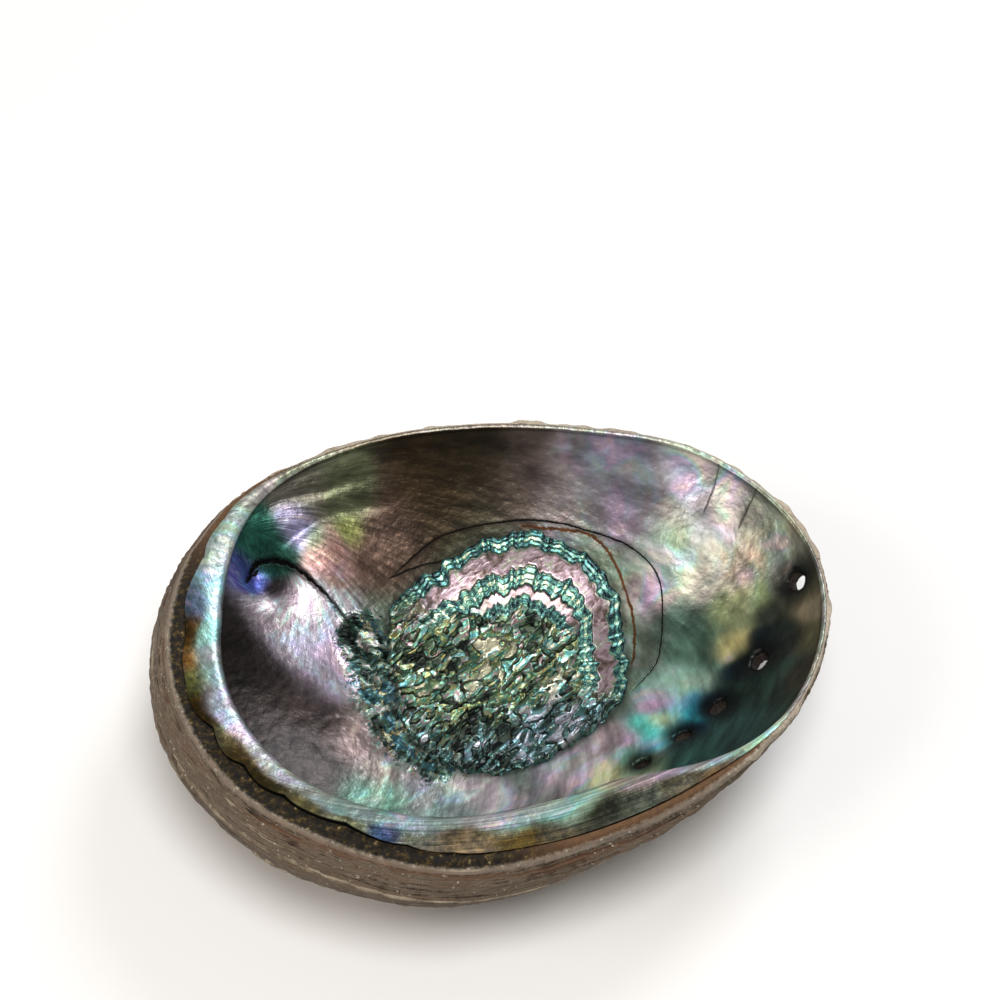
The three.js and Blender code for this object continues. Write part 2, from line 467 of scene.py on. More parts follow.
@dataclass
class RingMesh:
    """Closed surface from rings round one axis, with a pole at each end.

    Every ring is given at full fineness; stride thins it, doubling or halving from
    one ring to the next where the surface is small or hidden.
    """

    name: str
    rings: list = field(default_factory=list)
    strides: list = field(default_factory=list)
    hidden: list = field(default_factory=list)
    facts: dict = field(default_factory=dict)

    def add(self, points: np.ndarray, stride: int, hidden: bool, **facts: np.ndarray) -> None:
        """Adds rings.

        Args:
            points: rings of places, in order from the first pole to the last.
            stride: keep every so many places of each ring.
            hidden: True where the surface never shows.
            **facts: one value per place, kept as mesh attributes.
        """
        for row in range(len(points)):
            self.rings.append(points[row])
            self.strides.append(stride)
            self.hidden.append(hidden)
            for name, value in facts.items():
                self.facts.setdefault(name, {})[len(self.rings) - 1] = value[row]

    def build(self, first_pole: np.ndarray, last_pole: np.ndarray) -> bpy.types.Object:
        """Makes the mesh.

        Args:
            first_pole: place that closes the first ring.
            last_pole: place that closes the last ring.

        Returns:
            The object, in metres at the origin of the row frame.
        """
        kept = [ring[::stride] for ring, stride in zip(self.rings, self.strides)]
        counts = [len(ring) for ring in kept]
        starts = np.concatenate([[1], 1 + np.cumsum(counts)])
        places = np.vstack([first_pole[None], *kept, last_pole[None]])
        last = len(places) - 1
        faces: list[np.ndarray] = []
        back: list[np.ndarray] = []

        def store(columns: tuple, is_back: bool) -> None:
            """Keeps one ring of triangles, and whether they lie on the hidden side."""
            block = np.stack(columns, axis=1)
            faces.append(block)
            back.append(np.full(len(block), is_back))

        j = np.arange(counts[0])
        store((0 * j, 1 + j, 1 + (j + 1) % counts[0]), self.hidden[0])
        for row in range(len(kept) - 1):
            a, b = starts[row], starts[row + 1]
            n, m = counts[row], counts[row + 1]
            hidden = self.hidden[row] or self.hidden[row + 1]
            j = np.arange(min(n, m))
            k = (j + 1) % len(j)
            if n == m:
                store((a + j, b + j, b + k), hidden)
                store((a + j, b + k, a + k), hidden)
                continue
            # One ring has twice as many places: halfway ones lie between j and k.
            odd, even = 2 * j + 1, 2 * k
            if m > n:
                store((a + j, b + 2 * j, b + odd), hidden)
                store((a + j, b + odd, a + k), hidden)
                store((a + k, b + odd, b + even), hidden)
            else:
                store((a + 2 * j, b + j, a + odd), hidden)
                store((a + odd, b + j, b + k), hidden)
                store((a + odd, b + k, a + even), hidden)
        j = np.arange(counts[-1])
        store((starts[-2] + (j + 1) % len(j), starts[-2] + j, 0 * j + last), self.hidden[-1])
        triangles = np.vstack(faces)
        is_back = np.concatenate(back)

        rest = np.array(FORM.rest())
        metres = (places @ rest[:3, :3].T + rest[:3, 3]) * MM
        mesh = bpy.data.meshes.new(self.name)
        mesh.vertices.add(len(metres))
        mesh.vertices.foreach_set("co", metres.astype(np.float32).ravel())
        mesh.loops.add(triangles.size)
        mesh.loops.foreach_set("vertex_index", triangles.astype(np.int32).ravel())
        mesh.polygons.add(len(triangles))
        mesh.polygons.foreach_set("loop_start", np.arange(0, triangles.size, 3, dtype=np.int32))
        mesh.polygons.foreach_set("use_smooth", np.ones(len(triangles), bool))
        mesh.update(calc_edges=True)

        for name, by_ring in self.facts.items():
            sample = next(iter(by_ring.values()))
            wide = sample.ndim == 2
            width = 4 if wide else 1
            values = np.zeros((len(places), width), np.float32)
            for ring, value in by_ring.items():
                thin = value[:: self.strides[ring]].reshape(-1, value.shape[-1] if wide else 1)
                block = values[starts[ring] : starts[ring] + counts[ring]]
                block[:, : thin.shape[1]] = thin
                if wide:
                    block[:, 3] = 1
            values[0] = values[starts[0] : starts[0] + counts[0]].mean(axis=0)
            values[last] = values[starts[-2] : starts[-2] + counts[-1]].mean(axis=0)
            kind = "FLOAT_COLOR" if wide else "FLOAT"
            layer = mesh.attributes.new(name, kind, "POINT")
            layer.data.foreach_set("color" if wide else "value", values.ravel())

        self.unwrap(mesh, places, starts, counts, triangles, is_back)
        log.info("%s: %d triangles", self.name, len(triangles))
        return put(self.name, mesh)

    def unwrap(
        self, mesh: bpy.types.Mesh, places: np.ndarray, starts: np.ndarray, counts: list,
        triangles: np.ndarray, is_back: np.ndarray,
    ) -> None:
        """Lays the shown side out as one disc and the hidden side as a small one.

        Args:
            mesh: mesh to unwrap.
            places: its vertices in millimetres.
            starts: first vertex of each ring.
            counts: vertices in each ring.
            triangles: its faces.
            is_back: True for each face of the hidden side.
        """
        gap = [0.0]
        for row in range(1, len(counts)):
            n = min(counts[row - 1], counts[row])
            before = places[starts[row - 1] : starts[row - 1] + counts[row - 1]]
            here = places[starts[row] : starts[row] + counts[row]]
            step = np.linalg.norm(before[:: counts[row - 1] // n] - here[:: counts[row] // n], axis=1)
            gap.append(float(np.sqrt(np.mean(step**2))))
        travelled = np.cumsum(gap)
        shown = [row for row, hid in enumerate(self.hidden) if not hid]
        outward = shown[0] < len(counts) / 4 and not self.hidden[0]
        low, high = travelled[shown[0]], travelled[shown[-1]]
        flat = np.zeros((len(places), 2))
        for row in range(len(counts)):
            share = (travelled[row] - low) / max(high - low, 1e-6)
            radius = share if outward else 1 - share
            radius = np.clip(radius, 0, 1) * 0.485
            angle = np.arange(counts[row]) / counts[row] * FULL_TURN
            block = np.stack([0.5 + radius * np.cos(angle), 0.5 + radius * np.sin(angle)], axis=1)
            flat[starts[row] : starts[row] + counts[row]] = block
        flat[0] = flat[-1] = (0.5, 0.5)
        corner = 0.035 + (flat - 0.5) * 0.06
        layer = mesh.uv_layers.new(name="OFBake")
        spread = flat[triangles]
        spread[is_back] = corner[triangles[is_back]]
        layer.data.foreach_set("uv", spread.astype(np.float32).ravel())


def sample_sections(controls: list, rows: int) -> tuple[np.ndarray, np.ndarray]:
    """Draws a smooth section through control points at every angle, evenly by length.

    Args:
        controls: pairs of radius and height, each an array over the angles.
        rows: steps along the section.

    Returns:
        Radius and height by row and angle, and how far along the list of control
        points each one is.
    """
    radius = np.array([np.broadcast_to(r, controls[0][0].shape) for r, _ in controls])
    height = np.array([np.broadcast_to(z, controls[0][0].shape) for _, z in controls])
    points = np.stack([radius, height], axis=-1)
    points = np.concatenate([2 * points[:1] - points[1:2], points, 2 * points[-1:] - points[-2:-1]])
    places = np.linspace(0, len(controls) - 1, 10 * (len(controls) - 1) + 1)
    line = [spline(points[int(p) : int(p) + 4], p - int(p)) for p in places[:-1] + 1e-9]
    line = np.array(line + [points[-2]])
    gaps = np.linalg.norm(np.diff(line, axis=0), axis=-1)
    length = np.concatenate([np.zeros((1, line.shape[1])), np.cumsum(gaps, axis=0)])
    even = np.empty((rows + 1, line.shape[1], 2))
    along = np.empty((rows + 1, line.shape[1]))
    shares = np.linspace(0, 1, rows + 1)
    for column in range(line.shape[1]):
        stops = shares * length[-1, column]
        for axis in (0, 1):
            even[:, column, axis] = np.interp(stops, length[:, column], line[:, column, axis])
        along[:, column] = np.interp(stops, length[:, column], places)
    return even, along


def spin(section: np.ndarray, angle: np.ndarray) -> np.ndarray:
    """Turns radius and height at each angle into places."""
    radius, height = section[..., 0], section[..., 1]
    return np.stack([radius * np.cos(angle), radius * np.sin(angle), height], axis=-1)


# ---- pieces


@dataclass(frozen=True)
class Line:
    """A line on the nacre, by the places it passes: a grown line, except the dark line along the fold
    from the pit, which is painted shadow on a raised ledge.
    """

    points: tuple
    width: float = 0.35
    step: float = 0.0
    fall: float = 8.0
    ink: float = 1.0


DARK_LINES = (
    Line(((-27.6, 28.1), (-18.5, 34.4), (-11.4, 37.6), (1.4, 38.8), (14.6, 37.4), (26, 33.6),
          (37.9, 26.9), (43.8, 17.5), (43, 6.5), (39.6, -4.8), (35.6, -9.3), (29.5, -13.8)),
         width=0.24, step=0.18, fall=2.0),
    Line(((-27.6, 28.1), (-23.3, 29.8), (-18.5, 31.2), (-12, 32.2)), width=0.28),
    Line(((63.5, 36.5), (61, 31.4), (57.2, 26.8)), width=0.25, step=0.4, fall=4.0, ink=0.5),
    Line(((72.2, 26.5), (68.5, 22.9), (65, 19.3)), width=0.25, step=0.4, fall=4.0, ink=0.4),
    # Along the fold from the pit to the scar a ledge is raised, and this line's dark ink is painted
    # shadow on the ledge's edge.
    Line(((-66.5, 27), (-62.5, 34), (-55, 32.6), (-47, 25.6), (-41, 18.6), (-36, 10.5), (-33.2, 1),
          (-30.2, -10.5)), width=0.42, step=1.5, fall=12.0),
)
AMBER_LINES = (
    Line(((8.9, 37.5), (14.6, 35.9), (26.8, 32.6), (32.5, 26.5), (35, 17), (35.6, 8), (34.2, 0),
          (32, -6.5)), width=0.5),
)
ROUGH_STRIP = Line(
    ((-41, 20), (-37, 13), (-34.5, 4), (-32.5, -6), (-28.5, -15), (-22, -23), (-16, -27)), width=7.0
)
TROUGHS = (
    Line(((-57, 34.5), (-50, 38.5), (-43, 42), (-33, 44.2), (-20, 45.3)), width=1.7, step=0.9),
    Line(((-61, 41), (-54, 45.3), (-46, 47), (-37, 49), (-26, 50.5)), width=1.4, step=0.7),
)


@dataclass(frozen=True)
class Scar:
    """Outline of the muscle scar about its own middle."""

    middle: tuple = (1.5, 3.0)
    radii: tuple = (30.8, 35.0, 34.8, 33.2, 32.2, 35.0, 32.4, 34.6, 35.0, 32.8, 31.2, 32.0)

    def gap(self, x: np.ndarray, y: np.ndarray) -> np.ndarray:
        """Distance outside the outline."""
        dx, dy = x - self.middle[0], y - self.middle[1]
        return np.hypot(dx, dy) - around_circle(self.radii, np.arctan2(dy, dx))


SCAR = Scar()


# Patches of nacre colour: x, y, how wide each spreads, and its colour. Along with the nacre's own
# colours, the dark patches in the deep hollow by the tip, on the far wall, round the open holes and on
# the steep wall past them are painted shade, and the palest patches are painted highlights and glints.
BOWL_TINTS_AND_PAINTED_LIGHT = (
    (-69, 3, 8, "#1b1715"), (-57, -8, 10, "#2f2826"), (-52, -24, 9, "#2b2523"),
    (-64, -20, 8, "#1c1816"), (-50, 14, 6, "#bdb0c0"), (-57, 20, 4.5, "#94868f"),
    (-46, 5, 5, "#92848f"), (-40, -14, 5, "#8b7a75"), (-36, -24, 5, "#9a8884"),
    (-64.5, 30.5, 2.6, "#5f5ea8"), (-58.5, 27.5, 2.2, "#221c19"), (-62, 37, 4, "#2f5d50"),
    (-56, 35.5, 3.2, "#24483c"), (-50.5, 40, 3, "#a19fc4"), (-42.5, 33.5, 4, "#8d6f66"),
    (-36.5, 39, 2.6, "#848a52"), (-46, 37, 2.4, "#66795c"), (-37, 46, 5, "#565a44"),
    (-48, 46, 5, "#5e5a50"), (-30, 36, 5, "#5d4b42"), (-23, 37, 7, "#42352d"), (-12, 42, 8, "#302619"),
    (0, 44, 8, "#30291f"), (11, 44, 6, "#584d47"), (21, 41, 5, "#9a8b8a"), (32, 43, 5, "#6b6266"),
    (42, 36, 6, "#8b7c85"), (52, 37, 5, "#c6b8bb"), (36, 46, 5, "#a295a0"), (61, 28, 5, "#9c9a9c"),
    (70, 19, 5, "#7c7c70"), (64, 12, 4.5, "#98867a"), (54, 14, 5, "#a8a49c"), (46, 23, 5, "#8e9a86"),
    (47, 4, 4.5, "#43564c"), (51, -6, 5, "#5d7a68"), (61, 0, 4.5, "#8f9a70"), (41, 14, 4, "#9a8590"),
    (43, -17, 5, "#9ab8a6"), (33, -30, 4, "#7feadb"), (41, -26, 4, "#57bcd0"), (26, -38, 5, "#b9c8a4"),
    (-13, -35, 5, "#cdc2c8"), (9, -35, 5, "#d2c0c4"), (22, -30, 4, "#d0b4be"), (-26, -31, 5, "#a4a0a0"),
    (-39, -32, 6, "#6c9080"), (-20, -42, 6, "#7f8f8c"), (5, -44, 6, "#86847e"), (60, -28, 7, "#22332c"),
    (50, -40, 6, "#2c4440"), (68, -17, 4, "#222a26"), (38, -42, 5, "#2e4c46"), (77, 6, 5, "#8c8a7a"),
    (80, 12, 4, "#a39b88"), (80, -6, 3.5, "#5c5947"), (75, -21, 3.5, "#4e4d36"),
    (69, -32, 3.5, "#363022"), (78, -13, 3, "#7a705c"), (64, -11, 2.0, "#1a2428"),
    (56, -19, 2.2, "#14222c"), (49, -26, 2.6, "#12223a"), (42, -33, 2.6, "#142040"),
    (66, -5, 2.2, "#2a2e2c"), (37, -26.5, 2.6, "#f2e9a6"), (27, -30, 2.2, "#d0a3c6"),
    (19, -39, 3, "#e6d49a"), (25, -35.5, 2.6, "#7fdccb"), (31, -35, 2.6, "#7cc4ea"),
    (44, -22, 2.4, "#4c93c4"), (57, -9, 3, "#c7bd84"), (38, -20, 3, "#c39ab4"), (0, 20, 12, "#66705f"),
    (20, 10, 12, "#75806f"), (-20, 0, 12, "#555e52"), (0, -18, 12, "#5f6b60"),
)
BRIM_TINTS = (
    (-66, 36, 5, "#b8c3ad"), (-75, 25, 5, "#a4b7b6"), (-80, 13, 4, "#6a7489"), (-82, 3, 4, "#4a3a1c"),
    (-83, -5, 3, "#8a6f3a"), (-82, -12, 3, "#696b49"), (-80, -22, 4, "#3c3014"),
    (-76, -30, 3, "#7b765c"), (-72, -36, 4, "#52462a"), (-66, -43, 4, "#3a341f"),
    (-58, -51, 4, "#6d6a4e"), (-48, -58, 4, "#7a7a6a"), (-39, -61, 3, "#42506c"),
    (-31, -65, 4, "#79776c"), (-20, -66, 5, "#837862"), (-9, -67, 4, "#5f5230"), (2, -66, 4, "#585448"),
    (12, -65, 5, "#34362e"), (22, -63, 4, "#4f544c"), (32, -61, 4, "#615d50"), (41, -58, 4, "#6b5c4a"),
    (49, -53, 4, "#4b4233"), (58, -48, 4, "#67675e"),
)
LIP_TINTS = (
    (-75, 12, 6, "#8fa4ac"), (-79, 3, 4, "#7fa39a"), (-77, -7, 5, "#7e867d"), (-74, -20, 5, "#98929c"),
    (-69, -32, 6, "#a49a98"), (-58, -47, 7, "#9a928c"), (-46, -53, 6, "#7f9490"),
    (-31, -60, 6, "#a0aaa6"), (-16, -62, 6, "#b4b6ae"), (-5, -62, 5, "#8fa89c"), (4, -62, 5, "#8fb4a6"),
    (12, -62, 5, "#b2b99e"), (22, -59, 5, "#a08f84"), (33, -57, 6, "#b0a3a8"), (52, -48, 6, "#d0dccd"),
    (64, -38, 6, "#a9a294"), (74, -20, 6, "#8d8a7e"), (-66, 36, 5, "#a7b3a2"), (-71, 27, 5, "#9db0a4"),
    (-59, 43, 5, "#a9a8a4"), (-48, 52, 6, "#7a7566"), (-30, 58, 8, "#6a6050"), (0, 59, 9, "#7a7266"),
    (30, 54, 8, "#8c857a"), (58, 42, 7, "#a39c94"), (76, 20, 7, "#97927f"), (81, 0, 7, "#8f8b78"),
)


def linear(colour: str) -> tuple[float, float, float]:
    """Turns an sRGB hex colour to linear light."""
    shares = [int(colour[k : k + 2], 16) / 255 for k in (1, 3, 5)]
    return tuple(s / 12.92 if s <= 0.04045 else ((s + 0.055) / 1.055) ** 2.4 for s in shares)


def paint(x: np.ndarray, y: np.ndarray, tints: tuple) -> np.ndarray:
    """Blends colour patches over places in plan.

    Args:
        x: places' x.
        y: places' y.
        tints: the patches.

    Returns:
        Linear colours, last axis red, green, blue.
    """
    total = np.zeros(x.shape)
    colour = np.zeros(x.shape + (3,))
    for tint_x, tint_y, spread, tint in tints:
        near = ((x - tint_x) ** 2 + (y - tint_y) ** 2) / spread**2
        weight = np.exp(-near) + 0.02 / (1 + near) ** 2
        total += weight
        colour += weight[..., None] * np.array(linear(tint))
    return colour / total[..., None]


def arc_from_last(points: np.ndarray) -> np.ndarray:
    """Length along each meridian up to the last ring.

    Args:
        points: places by ring and angle.

    Returns:
        Millimetres by ring and angle.
    """
    gaps = np.linalg.norm(np.diff(points, axis=0), axis=-1)
    back = np.cumsum(gaps[::-1], axis=0)[::-1]
    return np.concatenate([back, np.zeros((1, points.shape[1]))])


@dataclass(frozen=True)
class NacreEdge:
    """Where the nacre ends on top of the lip, as an inset from the rim."""

    thin: float = 0.7
    gap: float = 2.5
    span: tuple = (140, 176, 222, 264)
    lobe: float = 1.7
    widest: tuple = (math.radians(226), math.radians(17), 2.4)

    def inset(self, angle: np.ndarray) -> np.ndarray:
        """Inset from the rim.

        Args:
            angle: radians.

        Returns:
            Millimetres.
        """
        share = presence(self.span, angle)
        middle, half, extra = self.widest
        wide = extra * np.exp(-(((angle % FULL_TURN) - middle) / half) ** 2)
        lobes = 1 - np.abs(np.sin(15 * angle + 1.4 * np.sin(3 * angle) + 0.8 * np.sin(7 * angle)))
        ripple = 0.45 * np.sin(9 * angle + 0.8) + 0.25 * np.sin(31 * angle)
        return self.thin + share * (self.gap - self.thin + wide + self.lobe * lobes + ripple)


EDGE = NacreEdge()


@dataclass
class NacreLining:
    """Inside of the shell: bowl, pit of the tip, and the inner lip's top."""

    around: int = 768
    fine_rows: int = 72
    lip_rows: int = 24

    def reliefs(self, points: np.ndarray) -> np.ndarray:
        """Lifts and dips of the bowl that have a place of their own.

        Args:
            points: places on the bowl.

        Returns:
            Millimetres up.
        """
        x, y = points[..., 0], points[..., 1]
        lift = np.zeros(x.shape)
        for line in DARK_LINES:
            if not line.step:
                continue
            gap, side, along = distance_to_curve(x, y, curve_through(line.points))
            ends = smoothstep(0, 0.08, along) * (1 - smoothstep(0.75, 1, along))
            raised = smoothstep(-0.5, 0.5, gap * side) * np.exp(-gap / line.fall)
            lift += line.step * ends * raised
        for trough in TROUGHS:
            gap, _, along = distance_to_curve(x, y, curve_through(trough.points))
            ends = smoothstep(0, 0.15, along) * (1 - smoothstep(0.7, 1, along))
            lift -= trough.step * ends * np.exp(-((gap / trough.width) ** 2))
        lift += 0.6 * np.exp(-((x - FORM.tip[0] + 4.5) ** 2 + (y - FORM.tip[1]) ** 2) / 16)
        lift += 0.7 * np.exp(-((x + 42.5) ** 2 + (y - 33.5) ** 2) / 5.5**2)
        ring = np.hypot(x + 46, y + 14)
        lift += 0.12 * np.exp(-(((ring - 6.5) / 0.8) ** 2))
        for hole in OPEN_HOLES:
            gap = np.hypot(x - hole.x, y - hole.y)
            lift -= 1.2 * np.exp(-((gap / (0.8 * hole.width)) ** 2))
        swell = 0.25 * np.sin(0.16 * x + 0.09 * y) * np.sin(0.13 * y - 0.05 * x + 1)
        return lift + swell

    def facts(self, points: np.ndarray, top: np.ndarray, brim: np.ndarray) -> dict:
        """What the finish needs to know at each place.

        Args:
            points: places by ring and angle.
            top: share of the lip's top, by ring and angle.
            brim: share of the lip's outer half, by ring and angle.

        Returns:
            Values by name.
        """
        x, y = points[..., 0], points[..., 1]
        gap, _, along = distance_to_curve(x, y, curve_through(ROUGH_STRIP.points))
        ends = smoothstep(0, 0.1, along) * (1 - smoothstep(0.85, 1, along))
        rough = np.exp(-((gap / (ROUGH_STRIP.width * (0.6 + 0.4 * ends))) ** 2)) * (0.3 + 0.7 * ends)
        lines = {}
        for number, line in enumerate(DARK_LINES + AMBER_LINES):
            gap, side, along = distance_to_curve(x, y, curve_through(line.points))
            drawn = smoothstep(0, 0.04, along) * (1 - smoothstep(0.92, 1, along))
            lines[f"line {number}"] = gap * side / line.width
            lines[f"drawn {number}"] = line.ink * drawn * (1 - top) * (1 - 0.8 * rough)
        hole = np.full(x.shape, 9.0)
        for one in OPEN_HOLES:
            hole = np.minimum(hole, np.hypot(x - one.x, y - one.y) / one.width)
        scar = SCAR.gap(x, y)
        growth = Growth(FORM.tip, rim_outline(720))
        age, place = growth.coordinates(x, y)
        wrap = np.exp(-((np.minimum(place, place.max() - place) / 2.5) ** 2))
        # The bowl's patches carry painted shade and painted highlights; the lip's and brim's are the
        # nacre's own colours.
        tint_and_painted_light = lerp(paint(x, y, BOWL_TINTS_AND_PAINTED_LIGHT), paint(x, y, LIP_TINTS), top[..., None])
        tint_and_painted_light = lerp(tint_and_painted_light, paint(x, y, BRIM_TINTS), brim[..., None])
        return {
            "hole": hole, "scar": scar, "rough": rough * (1 - top), "brim": brim, "wrap": wrap,
            "age": age, "place": place, "top": top, "Zone": tint_and_painted_light, **lines
        }

    def build(self) -> bpy.types.Object:
        """Draws the lining.

        Returns:
            The piece, without its finish.
        """
        angle = np.arange(self.around) / self.around * FULL_TURN
        wall = FORM.wall_at(angle)
        mesh = RingMesh("nacre_lining")
        inner = wall.belly - wall.thickness
        spans = ((0.010, 0.085, 5, 8), (0.095, 0.19, 7, 4), (0.20, 0.36, 14, 2))
        blocks = [(np.linspace(a, b, n), stride) for a, b, n, stride in spans]
        blocks.append((np.linspace(0.37, 1.0, self.fine_rows, endpoint=False), 1))
        for stops, stride in blocks:
            reach = FORM.even_reaches(FORM.bowl_depth, stops)[:, None]
            points = FORM.bowl(angle[None], reach, inner, FORM.bowl_depth, FORM.pit)
            points[..., 2] += self.reliefs(points) * (1 - smoothstep(0.93, 1, reach))
            none = np.zeros(points.shape[:2])
            mesh.add(points, stride, False, **self.facts(points, none, none))
        lip, rim, width = wall.lip, wall.rim, wall.lip_width
        inset = EDGE.inset(angle)
        droop = 0.25 * np.sin(5 * angle + 1) * lip + 0.15 * np.sin(13 * angle) * lip
        section, along = sample_sections(
            [
                (inner, wall.belly_height), (lerp(rim - 2.0, rim - 2.2, lip), lerp(-0.9, -6.2, lip)),
                (lerp(rim - 1.95, rim - width * 0.62, lip), lerp(-0.6, -5.3, lip)),
                (lerp(rim - 1.9, rim - width + 0.5, lip), lerp(-0.4, -4.6, lip)),
                (lerp(rim - 1.8, rim - width - 0.3, lip), lerp(-0.2, -3.2, lip)),
                (lerp(rim - 1.5, rim - width + 0.9, lip), lerp(0.0, -1.9, lip)),
                (lerp(rim - 1.2, rim - width * 0.62, lip), lerp(0.1, -0.9, lip) + droop),
                (lerp(rim - 0.95, rim - inset - 1.0, lip), lerp(0.08, -0.35, lip) + droop),
                (rim - inset, lerp(-0.05, -0.55, lip) + 0.6 * droop)
            ], self.lip_rows
        )
        points = spin(section, angle)
        top = smoothstep(3.6, 4.6, along)
        verge = np.exp(-(((along - 4.15) / 0.28) ** 2)) * presence((150, 185, 330, 345), angle)
        wander = 0.25 * np.sin(9 * angle) + 0.2 * np.sin(23 * angle + 1)
        brim = smoothstep(5.7, 6.5, along + wander) * presence((158, 176, 306, 322), angle)
        mesh.add(points, 1, False, **self.facts(points, top, brim), **{"rim line": verge})
        back, along = sample_sections(
            [
                (rim - inset + 0.05, lerp(-0.35, -0.95, lip)),
                (lerp(rim - 0.8, rim - 3.4, lip), lerp(-0.7, -2.0, lip)),
                (lerp(rim - 0.85, rim - 2.6, lip), lerp(-0.95, -3.6, lip)),
                (wall.belly - 0.45 * wall.thickness, wall.belly_height)
            ], 4
        )
        mesh.add(spin(back, angle)[:1], 1, True)
        mesh.add(spin(back, angle)[1:], 2, True)
        depth = FORM.bowl_depth + 0.6 * FORM.floor_thickness
        size = (5.5, 8.5)
        for stops, stride in ((np.linspace(0.95, 0.5, 14), 4), (np.linspace(0.45, 0.1, 6), 8)):
            reach = FORM.even_reaches(depth, stops)[:, None]
            radius = wall.belly - 0.45 * wall.thickness
            mesh.add(FORM.bowl(angle[None], reach, radius, depth, size), stride, True)
        first = FORM.middle(FORM.bowl_depth, FORM.pit)
        first[2] += self.reliefs(first)
        last = FORM.middle(depth, size)
        return mesh.build(first, last)


def rim_outline(count: int) -> np.ndarray:
    """Places round the rim in plan.

    Args:
        count: how many.

    Returns:
        Places, one per row, anticlockwise from +X.
    """
    angle = np.arange(count) / count * FULL_TURN
    radius = around_circle(FORM.rim_radius, angle)
    return np.stack([radius * np.cos(angle), radius * np.sin(angle)], axis=1)


@dataclass
class OuterWall:
    """Outside of the shell: the rim, the wall below it, the back and the tip's knob."""

    around: int = 720
    rim_rows: int = 18
    fine_rows: int = 92
    closed_holes: int = 18
    hole_step: float = math.radians(5.6)

    def build(self) -> bpy.types.Object:
        """Draws the outer wall.

        Returns:
            The piece, without its finish.
        """
        angle = np.arange(self.around) / self.around * FULL_TURN
        wall = FORM.wall_at(angle)
        lip, rim = wall.lip, wall.rim
        shared = presence(EDGE.span, angle)
        deepest = EDGE.gap + EDGE.widest[2] + EDGE.lobe + 1.1
        groove = lerp(1.3, deepest, shared) * (0.4 + 0.6 * np.maximum(lip, shared))
        groove = np.maximum(groove, 1.25)
        mesh = RingMesh("outer_wall")
        depth = FORM.bowl_depth + 0.4 * FORM.floor_thickness
        size = (5.5, 8.0)
        radius = wall.belly - 0.6 * wall.thickness
        for stops, stride in ((np.linspace(0.1, 0.45, 6), 8), (np.linspace(0.5, 0.95, 14), 4)):
            reach = FORM.even_reaches(depth, stops)[:, None]
            points = FORM.bowl(angle[None], reach, radius, depth, size)
            beside = (points[..., 0] - FORM.tip[0] + 4.5) ** 2 + (points[..., 1] - FORM.tip[1]) ** 2
            points[..., 2] -= 0.95 * np.exp(-beside / 30)
            mesh.add(points, stride, True)
        front, _ = sample_sections(
            [
                (radius, wall.belly_height), (lerp(rim - 1.1, rim - 2.9, lip), lerp(-1.0, -4.0, lip)),
                (lerp(rim - 1.12, rim - 4.6, lip), lerp(-0.75, -3.0, lip)),
                (rim - groove, lerp(-0.45, -1.9, lip))
            ], 4
        )
        mesh.add(spin(front, angle)[:4], 2, True)
        chip = 0.7 * np.sin(11 * angle) * np.sin(5 * angle + 0.7) + 0.3 * np.sin(29 * angle + 1)
        chip = (chip + 0.2 * np.sin(61 * angle)) * (1 - 0.8 * lip)
        section, along = sample_sections(
            [
                (rim - groove, lerp(-0.45, -1.9, lip)),
                (lerp(rim - 0.9, rim - groove * 0.75, lip), lerp(-0.25, -1.45, lip)),
                (lerp(rim - 0.55, rim - groove * 0.4, lip), lerp(-0.12, -1.3, lip)),
                (lerp(rim - 0.25, rim - 0.5, lip), lerp(-0.15, -0.75, lip)),
                (lerp(rim + 0.0, rim + 0.6, lip) + chip, lerp(-0.3, -0.6, lip)),
                (lerp(rim + 0.1, rim + 1.7, lip) + chip, lerp(-0.55, -1.9, lip)),
                (lerp(rim + 0.25, rim + 4.2, lip) + 0.5 * chip, lerp(-0.9, -5.6, lip)),
                (wall.belly, wall.belly_height)
            ], self.rim_rows
        )
        rim_points = spin(section, angle)[:-1]
        under = FORM.bowl_depth + FORM.floor_thickness
        spans = [(np.linspace(1.0, 0.27, self.fine_rows), 1), (np.linspace(0.26, 0.15, 9), 2)]
        spans += [(np.linspace(0.14, 0.075, 6), 4), (np.linspace(0.065, 0.01, 5), 8)]
        back = []
        for stops, _ in spans:
            reach = FORM.even_reaches(under, stops)[:, None]
            back.append(FORM.bowl(angle[None], reach, wall.belly, under, FORM.knob, 1.0))
        whole = np.concatenate([rim_points, *back])
        facts = self.facts(whole, angle, along[:-1])
        row = len(rim_points)
        mesh.add(rim_points, 1, False, **{name: value[:row] for name, value in facts.items()})
        for points, (_, stride) in zip(back, spans):
            ahead = row + len(points)
            part = {name: value[row:ahead] for name, value in facts.items()}
            mesh.add(points, stride, False, **part)
            row = ahead
        first = FORM.middle(depth, size)
        last = FORM.middle(under, FORM.knob, 1.0)
        return mesh.build(first, last)

    def facts(self, points: np.ndarray, angle: np.ndarray, along: np.ndarray) -> dict:
        """What the relief and the finish need to know at each place.

        Args:
            points: places by ring and angle, from the groove to the middle of the back.
            angle: radians.
            along: how far along the rim's section each of its rings is.

        Returns:
            Values by name.
        """
        length = arc_from_last(points)
        crest = int(np.argmin(np.abs(along.mean(axis=1) - 4)))
        whole = length[crest]
        share = np.minimum(length / whole, 1.0)
        flat_x = share * FORM.wall_at(angle).rim * np.cos(angle)
        flat_y = share * FORM.wall_at(angle).rim * np.sin(angle)
        out = FORM.tip_lean[0]
        tip_gap = np.hypot(points[..., 0] - FORM.tip[0] + 1 + out * 3, points[..., 1] - FORM.tip[1] - out)
        tip = np.unravel_index(np.argmin(tip_gap[crest:]), tip_gap[crest:].shape)
        tip = (tip[0] + crest, tip[1])
        growth = Growth((float(flat_x[tip]), float(flat_y[tip])), rim_outline(720))
        age, place = growth.coordinates(flat_x, flat_y)
        rim_gap = np.maximum(whole - length, 0)
        rim_gap[:crest] = -(length[:crest] - whole)

